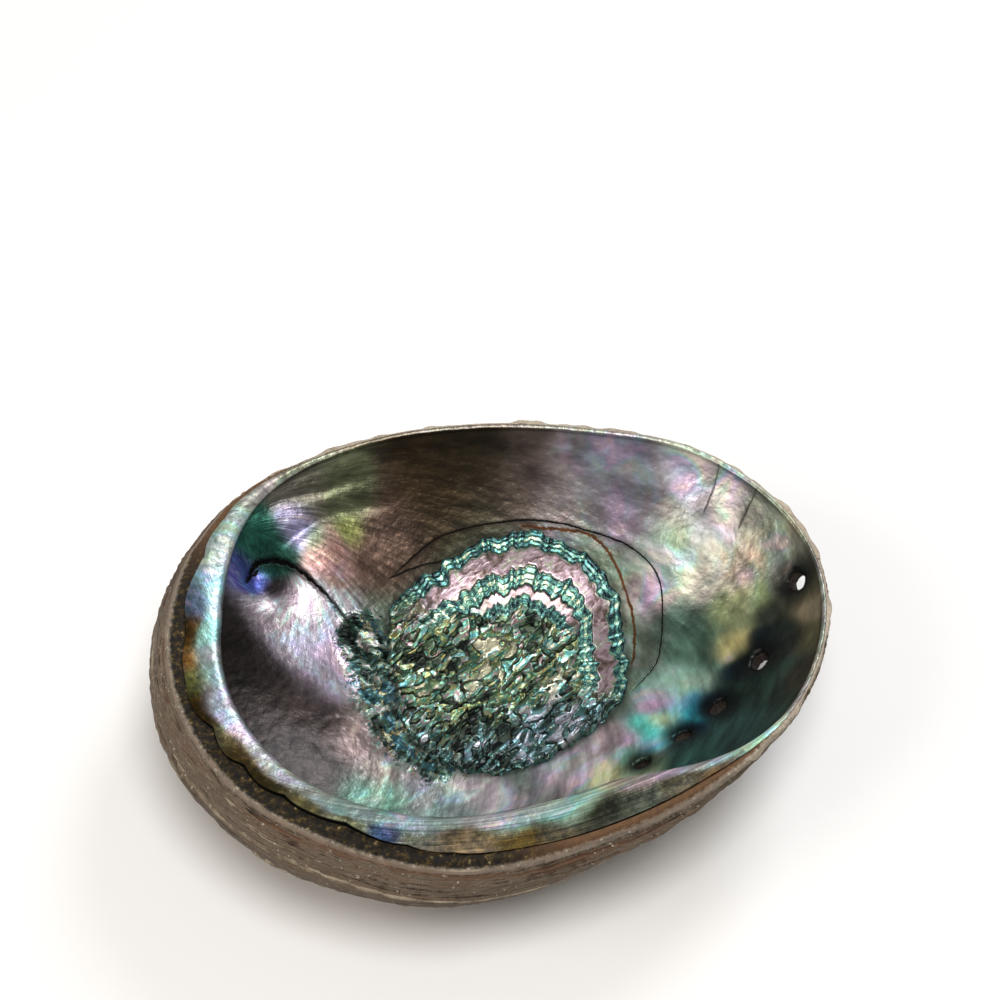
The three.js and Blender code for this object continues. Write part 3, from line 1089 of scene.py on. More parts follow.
        spots = []
        for hole in OPEN_HOLES:
            inside = np.array([hole.x, hole.y, float(FORM.bowl_height(hole.x, hole.y))])
            outside = inside - 3.4 * FORM.bowl_normal(hole.x, hole.y)
            gap = np.linalg.norm(points[crest:] - outside, axis=-1)
            spot = np.unravel_index(np.argmin(gap), gap.shape)
            spots.append((spot[0] + crest, spot[1], hole.width))
        last = spots[-1]
        run_x = flat_x[last[:2]] - growth.tip[0]
        run_y = flat_y[last[:2]] - growth.tip[1]
        reach, heading = math.hypot(run_x, run_y), math.atan2(run_y, run_x)
        for k in range(1, self.closed_holes + 1):
            turn = k * self.hole_step
            shrink = math.exp(-growth.rate * turn)
            want_x = growth.tip[0] + reach * shrink * math.cos(heading - turn)
            want_y = growth.tip[1] + reach * shrink * math.sin(heading - turn)
            gap = np.hypot(flat_x[crest:] - want_x, flat_y[crest:] - want_y)
            spot = np.unravel_index(np.argmin(gap), gap.shape)
            spots.append((spot[0] + crest, spot[1], OPEN_HOLES[-1].width * max(shrink, 0.35)))
        collar = np.full(length.shape, 9.0)
        shut = np.zeros(length.shape)
        width = np.ones(length.shape)
        for k, (row, column, size) in enumerate(spots):
            centre = points[row, column]
            gap = np.linalg.norm(points - centre, axis=-1) / size
            gap[:crest] = 9.0
            nearer = gap < collar
            collar = np.where(nearer, gap, collar)
            shut = np.where(nearer, float(k >= len(OPEN_HOLES)), shut)
            width = np.where(nearer, size, width)
        first = spots[2]
        row_place = place[first[:2]]
        perimeter = float(np.sum(np.linalg.norm(np.diff(growth.rim, axis=0), axis=1)))
        off = (place - row_place + perimeter / 2) % perimeter - perimeter / 2
        row_gap = off * np.exp(-growth.rate * age)
        return {
            "age": age, "place": place, "rim_gap": rim_gap, "collar": collar, "shut": shut,
            "width": width, "row_gap": row_gap,
            "side": np.broadcast_to(FORM.wall_at(angle).lip, length.shape),
            "trench": np.broadcast_to(presence((150, 168, 258, 276), angle), length.shape),
            "tip_gap": np.hypot(flat_x - growth.tip[0], flat_y - growth.tip[1])
        }


@dataclass
class MuscleScar:
    """Crumpled nacre where the foot muscle held the shell, raised on the bowl's floor."""

    around: int = 768
    fine_rows: int = 70
    sink: float = 0.5
    root: float = 1.4

    def build(self) -> bpy.types.Object:
        """Draws the scar before it is crumpled.

        Returns:
            The piece, without its finish.
        """
        angle = np.arange(self.around) / self.around * FULL_TURN
        radius = around_circle(SCAR.radii, angle)
        ruffle = 0.35 * np.sin(17 * angle + 2 * np.sin(3 * angle)) + 0.25 * np.sin(31 * angle + 2)
        radius = radius + ruffle + 0.12 * np.sin(67 * angle + 3 * np.sin(5 * angle))
        mesh = RingMesh("muscle_scar")
        lining = NacreLining()

        def lay(share: np.ndarray, sink: float) -> np.ndarray:
            """Lays one ring of the scar on the lining, sunk in by some millimetres."""
            x = SCAR.middle[0] + share * radius * np.cos(angle)
            y = SCAR.middle[1] + share * radius * np.sin(angle)
            points = np.stack([x, y, FORM.bowl_height(x, y) - sink], axis=-1)
            points[..., 2] += lining.reliefs(points)
            return points

        spans = ((np.linspace(0.02, 0.13, 10), 8), (np.linspace(0.14, 0.27, 14), 4))
        spans += ((np.linspace(0.28, 0.48, 22), 2), (np.linspace(0.49, 1.0, self.fine_rows), 1))
        for stops, stride in spans:
            share = stops[:, None]
            points = lay(share, 0.0)
            inside = (1 - share) * radius
            around = np.broadcast_to(angle, inside.shape)
            mesh.add(points, stride, False, inside=inside, turn=around)
        mesh.add(lay(np.array([[1.0]]), self.root), 2, True)
        mesh.add(lay(np.array([[0.8]]), self.root), 4, True)
        mesh.add(lay(np.array([[0.5], [0.2]]), self.root), 8, True)
        height = float(FORM.bowl_height(*SCAR.middle))
        middle = np.array([SCAR.middle[0], SCAR.middle[1], height])
        return mesh.build(middle, middle - np.array([0, 0, self.root]))


# ---- node trees


@dataclass(frozen=True)
class Step:
    """A kind of node, with the settings that it always has here."""

    kind: str
    settings: dict = field(default_factory=dict)


def steps(kind: str, setting: str, options: str) -> list[Step]:
    """Names one kind of node's steps."""
    return [Step(kind, {setting: option}) for option in options.split()]


PLUS, MINUS, TIMES, OVER, HIGHER, SIZE, FLOOR, FRACTION, COSINE, SINE, POWER, EXPONENT, WRAP = steps(
    "ShaderNodeMath", "operation",
    "ADD SUBTRACT MULTIPLY DIVIDE MAXIMUM ABSOLUTE FLOOR FRACT COSINE SINE POWER EXPONENT WRAP",
)
SHIFT, OFFSET, STRETCH, SCALE, DOT = steps(
    "ShaderNodeVectorMath", "operation", "ADD SUBTRACT MULTIPLY SCALE DOT_PRODUCT"
)
JOIN, SPLIT = Step("ShaderNodeCombineXYZ"), Step("ShaderNodeSeparateXYZ")
EASE, SPREAD = steps("ShaderNodeMapRange", "interpolation_type", "SMOOTHSTEP LINEAR")
MIX = Step("ShaderNodeMix", {"data_type": "FLOAT"})
BLEND = Step("ShaderNodeMix", {"data_type": "RGBA"})
TINGE = Step("ShaderNodeMix", {"data_type": "RGBA", "blend_type": "COLOR"})
OVERLAY = Step("ShaderNodeMix", {"data_type": "RGBA", "blend_type": "OVERLAY"})
NOISE = Step("ShaderNodeTexNoise")
CELLS = Step("ShaderNodeTexVoronoi", {"voronoi_dimensions": "2D"})
RAMP, SHADE = Step("ShaderNodeValToRGB"), Step("ShaderNodeHueSaturation")
HUES = Step("ShaderNodeSeparateColor", {"mode": "HSV"})
TURN, PLACE = Step("ShaderNodeVectorRotate"), Step("ShaderNodeTexCoord")
FACT, LIGHT_PATH = Step("ShaderNodeAttribute"), Step("ShaderNodeLightPath")
BUMP, SHADER = Step("ShaderNodeBump"), Step("ShaderNodeBsdfPrincipled")
SURFACE = Step("ShaderNodeOutputMaterial")
KEPT = Step("GeometryNodeInputNamedAttribute", {"data_type": "FLOAT"})
KEEP = Step("GeometryNodeStoreNamedAttribute", {"data_type": "FLOAT", "domain": "POINT"})
POSITION, NORMAL = Step("GeometryNodeInputPosition"), Step("GeometryNodeInputNormal")
MOVE, REALIZE = Step("GeometryNodeSetPosition"), Step("GeometryNodeRealizeInstances")
DRESS, ENTRY, RESULT = Step("GeometryNodeSetMaterial"), Step("NodeGroupInput"), Step("NodeGroupOutput")


@dataclass
class Graph:
    """Adds nodes to one tree."""

    tree: bpy.types.NodeTree

    def add(
        self, step: Step, *inputs: Value, named: dict[str, Value] | None = None, out: str = "",
        stops: tuple = (), **settings: str | bool,
    ) -> Socket | None:
        """Adds one node with its settings and links.

        Args:
            step: the kind of node.
            *inputs: what goes into its live sockets in order: a number, a vector, an
                sRGB hex colour, a socket to link, or None to leave it.
            named: more inputs by socket name.
            out: the output wanted, or "" for the first live one.
            stops: a ramp's pairs of place and sRGB hex colour.
            **settings: more of the node's own properties.

        Returns:
            The node's output.
        """
        node = self.tree.nodes.new(step.kind)
        for name, value in (step.settings | settings).items():
            setattr(node, name, value)
        if stops:
            elements = node.color_ramp.elements
            elements.remove(elements[-1])
            for k, (place, colour) in enumerate(stops):
                element = elements.new(place) if k else elements[0]
                element.position = place
                element.color = (*linear(colour), 1)
        live = [socket for socket in node.inputs if socket.enabled]
        pairs = list(zip(live, inputs))
        pairs += [(node.inputs[name], value) for name, value in (named or {}).items()]
        for socket, value in pairs:
            if isinstance(value, Socket):
                self.tree.links.new(value, socket)
            elif value is not None:
                colour = socket.type == "RGBA" and isinstance(value, str)
                socket.default_value = (*linear(value), 1) if colour else value
        return node.outputs[out] if out else next((s for s in node.outputs if s.enabled), None)


class Relief:
    """Base of the node groups that lift a piece's surface along its normal."""

    name = "relief"
    sizes: dict = {}

    def __init__(self) -> None:
        """Starts the group with its geometry, its sizes and its finish as inputs."""
        self.group = bpy.data.node_groups.new(self.name, "GeometryNodeTree")
        face = self.group.interface
        face.new_socket("Geometry", in_out="INPUT", socket_type="NodeSocketGeometry")
        for name, value in self.sizes.items():
            socket = face.new_socket(name, in_out="INPUT", socket_type="NodeSocketFloat")
            socket.default_value = value
        face.new_socket("Finish", in_out="INPUT", socket_type="NodeSocketMaterial")
        face.new_socket("Geometry", in_out="OUTPUT", socket_type="NodeSocketGeometry")
        self.graph = Graph(self.group)
        add = self.graph.add
        self.entry = add(ENTRY).node
        self.place = add(SCALE, add(POSITION), named={"Scale": 1 / MM})
        self.kept: list = []

    def size(self, name: str) -> Socket:
        """Finds one of the group's inputs by its name."""
        return self.entry.outputs[name]

    def bell(self, value: Socket, width: float) -> Socket:
        """Bell curve, 1 at 0.

        Args:
            value: what is measured.
            width: where it has fallen to about a third.

        Returns:
            The result.
        """
        add = self.graph.add
        share = add(OVER, value, width)
        return add(EXPONENT, add(TIMES, add(TIMES, share, share), -1.0))

    def tilted_flakes(self, length: float, breadth: float, heading: float) -> tuple:
        """Lays flakes that each lean their own way.

        Args:
            length: flake's length in millimetres.
            breadth: flake's breadth in millimetres.
            heading: direction of its length in radians.

        Returns:
            Height about 0, and a random share for each flake.
        """
        add = self.graph.add
        parts = add(SPLIT, self.warped(1.6 * breadth, 0.4 * breadth))
        y = parts.node.outputs["Y"]
        cosine, sine = math.cos(heading), math.sin(heading)
        run = add(PLUS, add(TIMES, parts, cosine / length), add(TIMES, y, sine / length))
        rise = add(PLUS, add(TIMES, parts, -sine / breadth), add(TIMES, y, cosine / breadth))
        spot = add(JOIN, run, rise, 0.0)
        cell = add(CELLS, spot, 1.0).node
        chance = add(SPLIT, cell.outputs["Color"])
        local = add(OFFSET, spot, cell.outputs["Position"])
        lean = add(OFFSET, cell.outputs["Color"], (0.5, 0.5, 0.5))
        local = add(STRETCH, local, (1.0, 1.0, 0.0))
        tilt = add(DOT, local, lean)
        return add(TIMES, tilt, 2.0), chance

    def warped(self, grain: float, amount: float) -> Socket:
        """Shifts places to and fro.

        Args:
            grain: size of the shift's features in millimetres.
            amount: largest shift in millimetres.

        Returns:
            The places.
        """
        add = self.graph.add
        warp = add(NOISE, self.place, 1 / grain, 1.5)
        warp = add(OFFSET, warp.node.outputs["Color"], (0.5, 0.5, 0.5))
        return add(SHIFT, self.place, add(STRETCH, warp, (2 * amount,) * 3))

    def finish(self, height: Socket, floor: bool = False) -> bpy.types.NodeTree:
        """Lifts the surface, keeps the stored values and gives it the finish.

        Args:
            height: lift along the normal in millimetres.
            floor: True to keep it above the floor.

        Returns:
            The group.
        """
        add = self.graph.add
        geometry = self.entry.outputs["Geometry"]
        for name, value in self.kept:
            geometry = add(KEEP, geometry, None, name, value)
        lift = add(SCALE, add(NORMAL), named={"Scale": add(TIMES, height, MM)})
        geometry = add(MOVE, geometry, None, None, lift)
        if floor:
            parts = add(SPLIT, add(POSITION))
            level = add(HIGHER, parts.node.outputs["Z"], 0.0)
            worn = add(JOIN, parts, parts.node.outputs["Y"], level)
            geometry = add(MOVE, geometry, None, worn)
        geometry = add(DRESS, add(REALIZE, geometry), None, self.size("Finish"))
        add(RESULT, geometry)
        return self.group


class LiningRelief(Relief):
    """Fine growth folds of the nacre, and the crumpled strip beside the scar."""

    name = "nacre folds"
    sizes = {"Fold height": 0.10, "Crumple height": 1.2}

    def build(self) -> bpy.types.NodeTree:
        """Builds the group.

        Returns:
            The group.
        """
        add = self.graph.add
        names = ("age", "place", "top", "rough")
        fact = {name: add(KEPT, name) for name in names}
        age, place, top = fact["age"], fact["place"], fact["top"]
        folds_at = add(JOIN, add(TIMES, age, 50.0), add(TIMES, place, 0.18), 0.0)
        folds = add(NOISE, folds_at, 1 / 2.6, 2.0)
        across_at = add(JOIN, add(TIMES, age, 12.0), add(TIMES, place, 1.0), 3.0)
        across = add(NOISE, across_at, 1 / 1.8, 2.0)
        fold = add(MIX, top, folds, across)
        height = add(TIMES, add(TIMES, add(MINUS, fold, 0.5), self.size("Fold height")), 2.0)
        tilt, chance = self.tilted_flakes(4.2, 1.9, -1.06)
        crumple = add(PLUS, tilt, add(TIMES, chance, 0.6))
        crumple = add(PLUS, crumple, add(MINUS, add(NOISE, self.place, 1 / 1.6, 3.0), 0.3))
        crumple = add(TIMES, crumple, self.size("Crumple height"))
        crumple = add(TIMES, crumple, add(EASE, fact["rough"], 0.2, 0.7))
        self.kept.append(("flake", chance))
        return self.finish(add(PLUS, height, crumple))


class WallRelief(Relief):
    """Wavy spiral cords, growth bands, the keel and rims of the holes, and lime crust."""

    name = "cords and crust"
    sizes = {
        "Cord spacing": 2.25, "Cord height": 0.30, "Band spacing": 0.085, "Band height": 0.38,
        "Crust cover": 0.515, "Crust height": 0.55, "Keel height": 0.9,
    }

    def build(self) -> bpy.types.NodeTree:
        """Builds the group.

        Returns:
            The group.
        """
        add = self.graph.add
        names = ("age", "place", "side", "rim_gap", "collar", "shut", "width", "row_gap", "tip_gap")
        fact = {name: add(KEPT, name) for name in names}
        age, place, side = fact["age"], fact["place"], fact["side"]
        rim_gap = fact["rim_gap"]
        wobble = add(MINUS, add(NOISE, self.place, 1 / 9, 2.0), 0.5)
        wave = add(MINUS, add(NOISE, self.place, 1 / 3.2, 1.0), 0.5)
        near_lip = add(TIMES, side, add(EASE, rim_gap, 10.0, 26.0, 1.0, 0.0))

        octave = add(TIMES, age, 0.5 / math.log(2))
        low = add(FLOOR, octave)
        between = add(EASE, add(FRACTION, octave), 0.3, 0.7)
        waver = add(PLUS, add(TIMES, wobble, 4.0), add(TIMES, wave, 1.3))
        # The waver is measured on the wall, so it is stretched with age like the cords.
        stretch = add(POWER, 2.0, low)
        place_w = add(PLUS, place, add(TIMES, waver, stretch))
        turn = add(OVER, add(OVER, FULL_TURN, self.size("Cord spacing")), stretch)
        fine = add(COSINE, add(TIMES, place_w, turn))
        coarse = add(COSINE, add(TIMES, place_w, add(TIMES, turn, 0.5)))
        cord = add(MIX, between, fine, coarse)
        beads = add(EASE, add(NOISE, self.place, 1 / 3, 2.0), 0.35, 0.65, 0.35, 1.25)
        cord_share = add(TIMES, beads, add(EASE, near_lip, 0.2, 0.8, 1.0, 0.12))
        rib = add(TIMES, cord, cord_share)

        stage = add(PLUS, add(OVER, age, self.size("Band spacing")), add(TIMES, wobble, 2.2))
        tread = add(FRACTION, stage)
        band = add(MINUS, add(TIMES, tread, add(EASE, tread, 0.86, 1.0, 1.0, 0.0)), 0.4)
        strength = add(EASE, add(NOISE, self.place, 1 / 26, 1.0), 0.4, 0.6, 0.35, 1.3)
        band = add(TIMES, band, strength)

        course = add(PLUS, rim_gap, add(TIMES, wobble, 2.6))
        course_at = add(JOIN, course, add(TIMES, place, 0.035), 9.0)
        stripe = add(MINUS, add(NOISE, course_at, 1 / 2.2, 6.0), 0.5)
        stripe = add(TIMES, add(TIMES, stripe, near_lip), 2.0)
        ledge = add(TIMES, add(TIMES, add(FRACTION, add(TIMES, course, 0.2)), near_lip), 0.35)

        patch_at = add(JOIN, add(TIMES, age, 34.0), add(TIMES, place, 0.3), 5.0)
        patch = add(
            MIX, 0.42, add(NOISE, self.place, 1 / 15, 8.0), add(NOISE, patch_at, 1 / 7, 8.0)
        )
        open_edge = add(TIMES, near_lip, 0.16)
        cover = add(MINUS, add(MINUS, patch, self.size("Crust cover")), open_edge)
        crust = add(EASE, cover, -0.01, 0.03)
        lumps = add(EASE, add(NOISE, self.place, 1 / 1.5, 3.0), 0.3, 0.7, 0.5, 1.4)
        crust_lift = add(TIMES, add(TIMES, crust, lumps), self.size("Crust height"))

        collar, shut = fact["collar"], fact["shut"]
        width = fact["width"]
        ring = self.bell(add(MINUS, add(TIMES, collar, width), 3.5), 1.25)
        ring = add(TIMES, add(TIMES, ring, add(MINUS, 1.0, shut)), 1.25)
        small = add(OVER, width, 3.8)
        plug = add(MINUS, self.bell(collar, 1.0), add(TIMES, self.bell(collar, 0.5), 1.1))
        plug = add(TIMES, add(TIMES, plug, shut), small)
        keel = add(TIMES, self.bell(fact["row_gap"], 5.0), self.size("Keel height"))
        keel = add(TIMES, keel, add(EASE, age, 1.5, 3.5, 1.0, 0.3))

        ribs = add(TIMES, rib, self.size("Cord height"))
        ribs = add(TIMES, ribs, add(EASE, crust, 0.0, 1.0, 1.0, 0.45))
        height = add(PLUS, ribs, add(TIMES, band, self.size("Band height")))
        for part in (stripe, ledge, crust_lift, ring, plug, keel, add(TIMES, wobble, 0.9)):
            height = add(PLUS, height, part)
        height = add(TIMES, height, add(EASE, rim_gap, 0.2, 3.0))
        tip_fade = add(EASE, fact["tip_gap"], 1.0, 6.0, 0.25, 1.0)
        height = add(TIMES, height, tip_fade)
        self.kept += [
            ("cover", cover), ("tread", tread), ("near_lip", near_lip), ("course", course),
            ("cord_turn", turn), ("cord_place", place_w), ("cord_between", between),
            ("cord_share", cord_share)
        ]
        return self.finish(height, floor=True)


class ScarRelief(Relief):
    """Fluted terraces round the scar and a heap of torn sheets in its middle."""

    name = "terraces and sheets"
    sizes = {
        "Edge height": 0.85, "Flute height": 0.09, "Plate width": 1.3, "Plate height": 0.30,
        "Sheet height": 0.62, "Chip height": 0.38, "Tilt height": 0.9,
    }

    def sheets(self, grain: float, count: float, warp: float, stretch: float, seed: float) -> Socket:
        """Lays torn sheets like the steps of a hill map.

        Args:
            grain: size of a hill in millimetres.
            count: sheets from lowest to highest.
            warp: how far outlines wander in millimetres.
            stretch: how much longer hills are along the diagonal.
            seed: which hills.

        Returns:
            Height in sheets about 0.
        """
        add = self.graph.add
        turned = add(TURN, self.warped(4.0, warp), (0.0, 0.0, 0.0), (0.0, 0.0, 1.0), HEAP_LEAN)
        squeezed = add(STRETCH, turned, (1 / stretch, 1.0, 1.0))
        shifted = add(SHIFT, squeezed, (seed, 0.0, 0.0))
        level = add(TIMES, add(NOISE, shifted, 1 / grain, 1.2), count)
        self.kept.append((f"level {seed:g}", level))
        whole, part = add(FLOOR, level), add(FRACTION, level)
        height = add(PLUS, whole, add(EASE, part, 0.0, 0.12))
        return add(MINUS, add(PLUS, height, add(TIMES, part, -0.45)), 0.5 * count)

    def window(self, value: Socket, stops: tuple[float, float, float, float]) -> Socket:
        """Share of a terrace present where a value has got to.

        Args:
            value: what is measured.
            stops: where the terrace starts, is whole, starts to fade and is gone.

        Returns:
            1 where it is whole and 0 where it is absent.
        """
        add = self.graph.add
        start, whole, fade, gone = stops
        return add(TIMES, add(EASE, value, start, whole), add(EASE, value, fade, gone, 1.0, 0.0))

    def build(self) -> bpy.types.NodeTree:
        """Builds the group.

        Returns:
            The group.
        """
        add = self.graph.add
        inside, turn = add(KEPT, "inside"), add(KEPT, "turn")
        # Bearing from -180 to 180 degrees, so that the terraces lie round 0.
        bearing = add(WRAP, turn, math.pi, -math.pi)
        arc = add(TIMES, bearing, 31.0)
        terraced = self.window(bearing, (-0.75, -0.45, 2.25, 2.75))
        sway_at = add(JOIN, add(TIMES, arc, 0.16), 0.0, 2.0)
        sway = add(NOISE, sway_at, 1.0, 1.0)
        flute = add(COSINE, add(PLUS, add(TIMES, arc, FULL_TURN / 3.1), add(TIMES, sway, 24.0)))
        lobe = add(SIZE, add(SINE, add(PLUS, add(TIMES, arc, math.pi / 6.2), add(TIMES, sway, 9.0))))
        wobble = add(MINUS, add(NOISE, self.place, 1 / 11, 1.0), 0.5)
        ragged = add(MINUS, add(NOISE, self.place, 1 / 1.8, 2.0), 0.5)
        lobe = add(TIMES, lobe, add(EASE, inside, 0.5, 3.0, 0.0, 0.75))
        deep = add(PLUS, inside, lobe)
        for part, amount in ((flute, 0.06), (wobble, 4.0), (ragged, 0.35)):
            deep = add(PLUS, deep, add(TIMES, part, amount))

        edge = add(MINUS, add(TIMES, add(EASE, inside, 0.05, 0.7), self.size("Edge height")), 0.35)
        plates = add(OVER, deep, self.size("Plate width"))
        plate = add(FRACTION, plates)
        layer = add(FRACTION, add(TIMES, add(FLOOR, plates), GOLDEN))
        first = add(EASE, deep, 3.9, 4.3, 1.0, 0.0)
        second = self.window(deep, (8.6, 8.9, 12.9, 13.4))
        inward = self.window(bearing, (0.2, 0.5, 1.7, 2.2))
        third = add(TIMES, self.window(deep, (15.6, 15.9, 18.6, 19.4)), inward)
        fluted = add(HIGHER, add(HIGHER, first, second), third)
        outer = self.window(deep, (4.0, 4.6, 8.4, 8.8))
        inner = self.window(deep, (13.0, 13.5, 15.4, 15.8))
        pink = add(HIGHER, outer, add(TIMES, inner, inward))
        steps = add(TIMES, plate, self.size("Plate height"))
        steps = add(PLUS, steps, add(TIMES, flute, self.size("Flute height")))
        terrace = add(MINUS, add(TIMES, steps, fluted), add(TIMES, pink, 0.12))
        terrace = add(PLUS, terrace, add(TIMES, second, 0.3))

        big = self.sheets(8.0, 9.0, 1.5, 1.8, 0.0)
        small = self.sheets(3.6, 6.0, 0.9, 2.0, 40.0)
        tilt, chance = self.tilted_flakes(5.0, 2.6, 0.6)
        heap = add(TIMES, big, self.size("Sheet height"))
        for part, name in ((small, "Chip height"), (tilt, "Tilt height")):
            heap = add(PLUS, heap, add(TIMES, part, self.size(name)))
        limit = add(MIX, inward, 13.2, 18.8)
        middle = add(EASE, add(MINUS, deep, limit), -0.3, 0.3)
        flaked = add(TIMES, add(HIGHER, middle, add(MINUS, 1.0, terraced)), add(EASE, inside, 0.1, 1.2))

        body = add(MIX, flaked, terrace, add(PLUS, heap, 0.7))
        height = add(PLUS, edge, body)

        seam = add(TIMES, add(EASE, plate, 0.0, 0.2, 0.85, 0.0), fluted)
        verge = add(EASE, add(SIZE, add(MINUS, deep, 8.75)), 0.0, 0.35, 1.0, 0.0)
        verge2 = add(EASE, add(SIZE, add(MINUS, deep, 4.15)), 0.0, 0.25, 0.8, 0.0)
        lines = add(HIGHER, seam, add(HIGHER, verge, verge2))
        crevice = add(TIMES, lines, add(MINUS, 1.0, flaked))
        crevice = add(HIGHER, crevice, add(EASE, inside, 0.0, 0.4, 1.0, 0.0))
        self.kept += [
            ("crevice", crevice), ("flaked", flaked), ("pink", pink), ("flute", flute),
            ("chance", chance), ("layer", layer)
        ]
        return self.finish(height)


def modify(thing: bpy.types.Object, relief: Relief, finish: bpy.types.Material) -> None:
    """Runs a relief on a piece and keeps the result as its mesh.

    Args:
        thing: the piece.
        relief: the relief.
        finish: the piece's finish.
    """
    modifier = thing.modifiers.new(relief.name, "NODES")
    modifier.node_group = relief.build()
    for item in modifier.node_group.interface.items_tree:
        if item.item_type == "SOCKET" and item.in_out == "INPUT" and item.name == "Finish":
            modifier[item.identifier] = finish
    settle(thing)
    while len(thing.data.materials) > 1:
        thing.data.materials.pop(index=1)


def settle(thing: bpy.types.Object) -> None:
    """Keeps what a piece's modifiers make as its own mesh.

    Args:
        thing: the piece.
    """
    graph = bpy.context.evaluated_depsgraph_get()
    graph.update()
    made = bpy.data.meshes.new_from_object(
        thing.evaluated_get(graph), preserve_all_data_layers=True, depsgraph=graph
    )
    made.name = thing.name
    thing.modifiers.clear()
    old, thing.data = thing.data, made
    bpy.data.meshes.remove(old)


@dataclass
class HoleCutter:
    """Turned cutters for the open holes, flared toward the inside."""

    flare: float = 1.7
    flare_depth: float = 1.6
    reach: float = 9.0
    around: int = 40

    def cutter(self, index: int, hole: Hole) -> bpy.types.Object:
        """Turns one cutter.

        Args:
            index: the hole's number, for its corner of the map.
            hole: the hole.

        Returns:
            The cutter.
        """
        axis = Vector(FORM.bowl_normal(hole.x, hole.y))
        height = float(FORM.bowl_height(hole.x, hole.y))
        base = Vector((hole.x, hole.y, height))
        bore = hole.width / 2
        profile = (
            (bore * 0.94, -self.reach), (bore * 0.97, -2.0), (bore, -self.flare_depth),
            (bore * 1.12, -0.9), (bore * 1.35, -0.45), (bore * self.flare, 0.0),
            (bore * self.flare * 1.1, 2.5)
        )
        turn = axis.to_track_quat("Z", "Y").to_matrix()
        rest = FORM.rest()
        places, corners, faces = [], [], []
        for radius, along in profile:
            for k in range(self.around):
                angle = FULL_TURN * k / self.around
                ragged = radius * (1 + 0.05 * math.sin(2 * angle + index) + 0.03 * math.sin(5 * angle))
                local = Vector((ragged * math.cos(angle), ragged * math.sin(angle), along))
                places.append((rest @ (base + turn @ local)) * MM)
        rows = len(profile)
        for row in range(rows - 1):
            for k in range(self.around):
                a, b = row * self.around + k, row * self.around + (k + 1) % self.around
                faces.append((a, b, b + self.around, a + self.around))
                u, v = 0.905 + 0.018 * index, 0.010 + 0.035 * row / rows
                wide, tall = 0.012 / self.around, 0.035 / rows
                corners += [(u + wide * k, v), (u + wide * (k + 1), v),
                            (u + wide * (k + 1), v + tall), (u + wide * k, v + tall)]
        bottom = tuple(reversed(range(self.around)))
        top = tuple(range((rows - 1) * self.around, rows * self.around))
        for face in (bottom, top):
            faces.append(face)
            corners += [(0.905 + 0.018 * index, 0.05)] * len(face)
        mesh = bpy.data.meshes.new("hole cutter")
        mesh.from_pydata(places, [], faces)
        layer = mesh.uv_layers.new(name="OFBake")
        layer.data.foreach_set("uv", np.array(corners, np.float32).ravel())
        mesh.polygons.foreach_set("use_smooth", np.ones(len(faces), bool))
        return put("hole cutter", mesh)

    def cut(self, pieces: list) -> None:
        """Cuts the open holes through pieces and carries their facts onto the bores.

        Args:
            pieces: the pieces.
        """
        cutters = [self.cutter(k, hole) for k, hole in enumerate(OPEN_HOLES)]
        for piece in pieces:
            before = piece.data.copy()
            for cutter in cutters:
                modifier = piece.modifiers.new("hole", "BOOLEAN")
                modifier.operation = "DIFFERENCE"
                modifier.solver = "MANIFOLD"
                modifier.object = cutter
            settle(piece)
            carry_facts(before, piece.data)
            piece.data.set_sharp_from_angle(angle=math.radians(50))
            bpy.data.meshes.remove(before)
        for cutter in cutters:
            mesh = cutter.data
            bpy.data.objects.remove(cutter)
            bpy.data.meshes.remove(mesh)


# Hole and collar value for the new faces of the bores, low enough that both finishes paint shade down
# them.
BORE_SHADE_FACT = 0.35


def carry_facts(source: bpy.types.Mesh, target: bpy.types.Mesh) -> None:
    """Gives new vertices the facts of the nearest old ones.

    Args:
        source: mesh before a cut.
        target: mesh after it.
    """
    old = np.empty(len(source.vertices) * 3, np.float32)
    source.vertices.foreach_get("co", old)
    new = np.empty(len(target.vertices) * 3, np.float32)
    target.vertices.foreach_get("co", new)
    old, new = old.reshape(-1, 3), new.reshape(-1, 3)
    spot = {key: k for k, key in enumerate(map(bytes, old))}
    index = np.array([spot.get(bytes(row), -1) for row in new])
    tree = KDTree(len(old))
    for k, row in enumerate(old):
        tree.insert(row, k)
    tree.balance()
    fresh = np.nonzero(index < 0)[0]
    for k in fresh:
        index[k] = tree.find(new[k])[1]
    for layer in source.attributes:
        if layer.domain != "POINT" or layer.data_type not in ("FLOAT", "FLOAT_COLOR"):
            continue
        wide = layer.data_type == "FLOAT_COLOR"
        values = np.empty(len(old) * (4 if wide else 1), np.float32)
        key = "color" if wide else "value"
        layer.data.foreach_get(key, values)
        values = values.reshape(len(old), -1)[index]
        # Bore faces take the low value, so the finishes paint shade down them.
        if layer.name in ("collar", "hole"):
            values[fresh] = BORE_SHADE_FACT
        goal = target.attributes.get(layer.name)
        if goal is not None and (goal.domain != "POINT" or goal.data_type != layer.data_type):
            target.attributes.remove(goal)
            goal = None
        if goal is None:
            goal = target.attributes.new(layer.name, layer.data_type, "POINT")
        goal.data.foreach_set(key, values.ravel())


# ---- finishes


class FinishKind(Enum):
    """The shell's three surfaces."""

    NACRE = "polished nacre"
    SCAR = "crumpled scar nacre"
    OUTSIDE = "weathered shell outside"


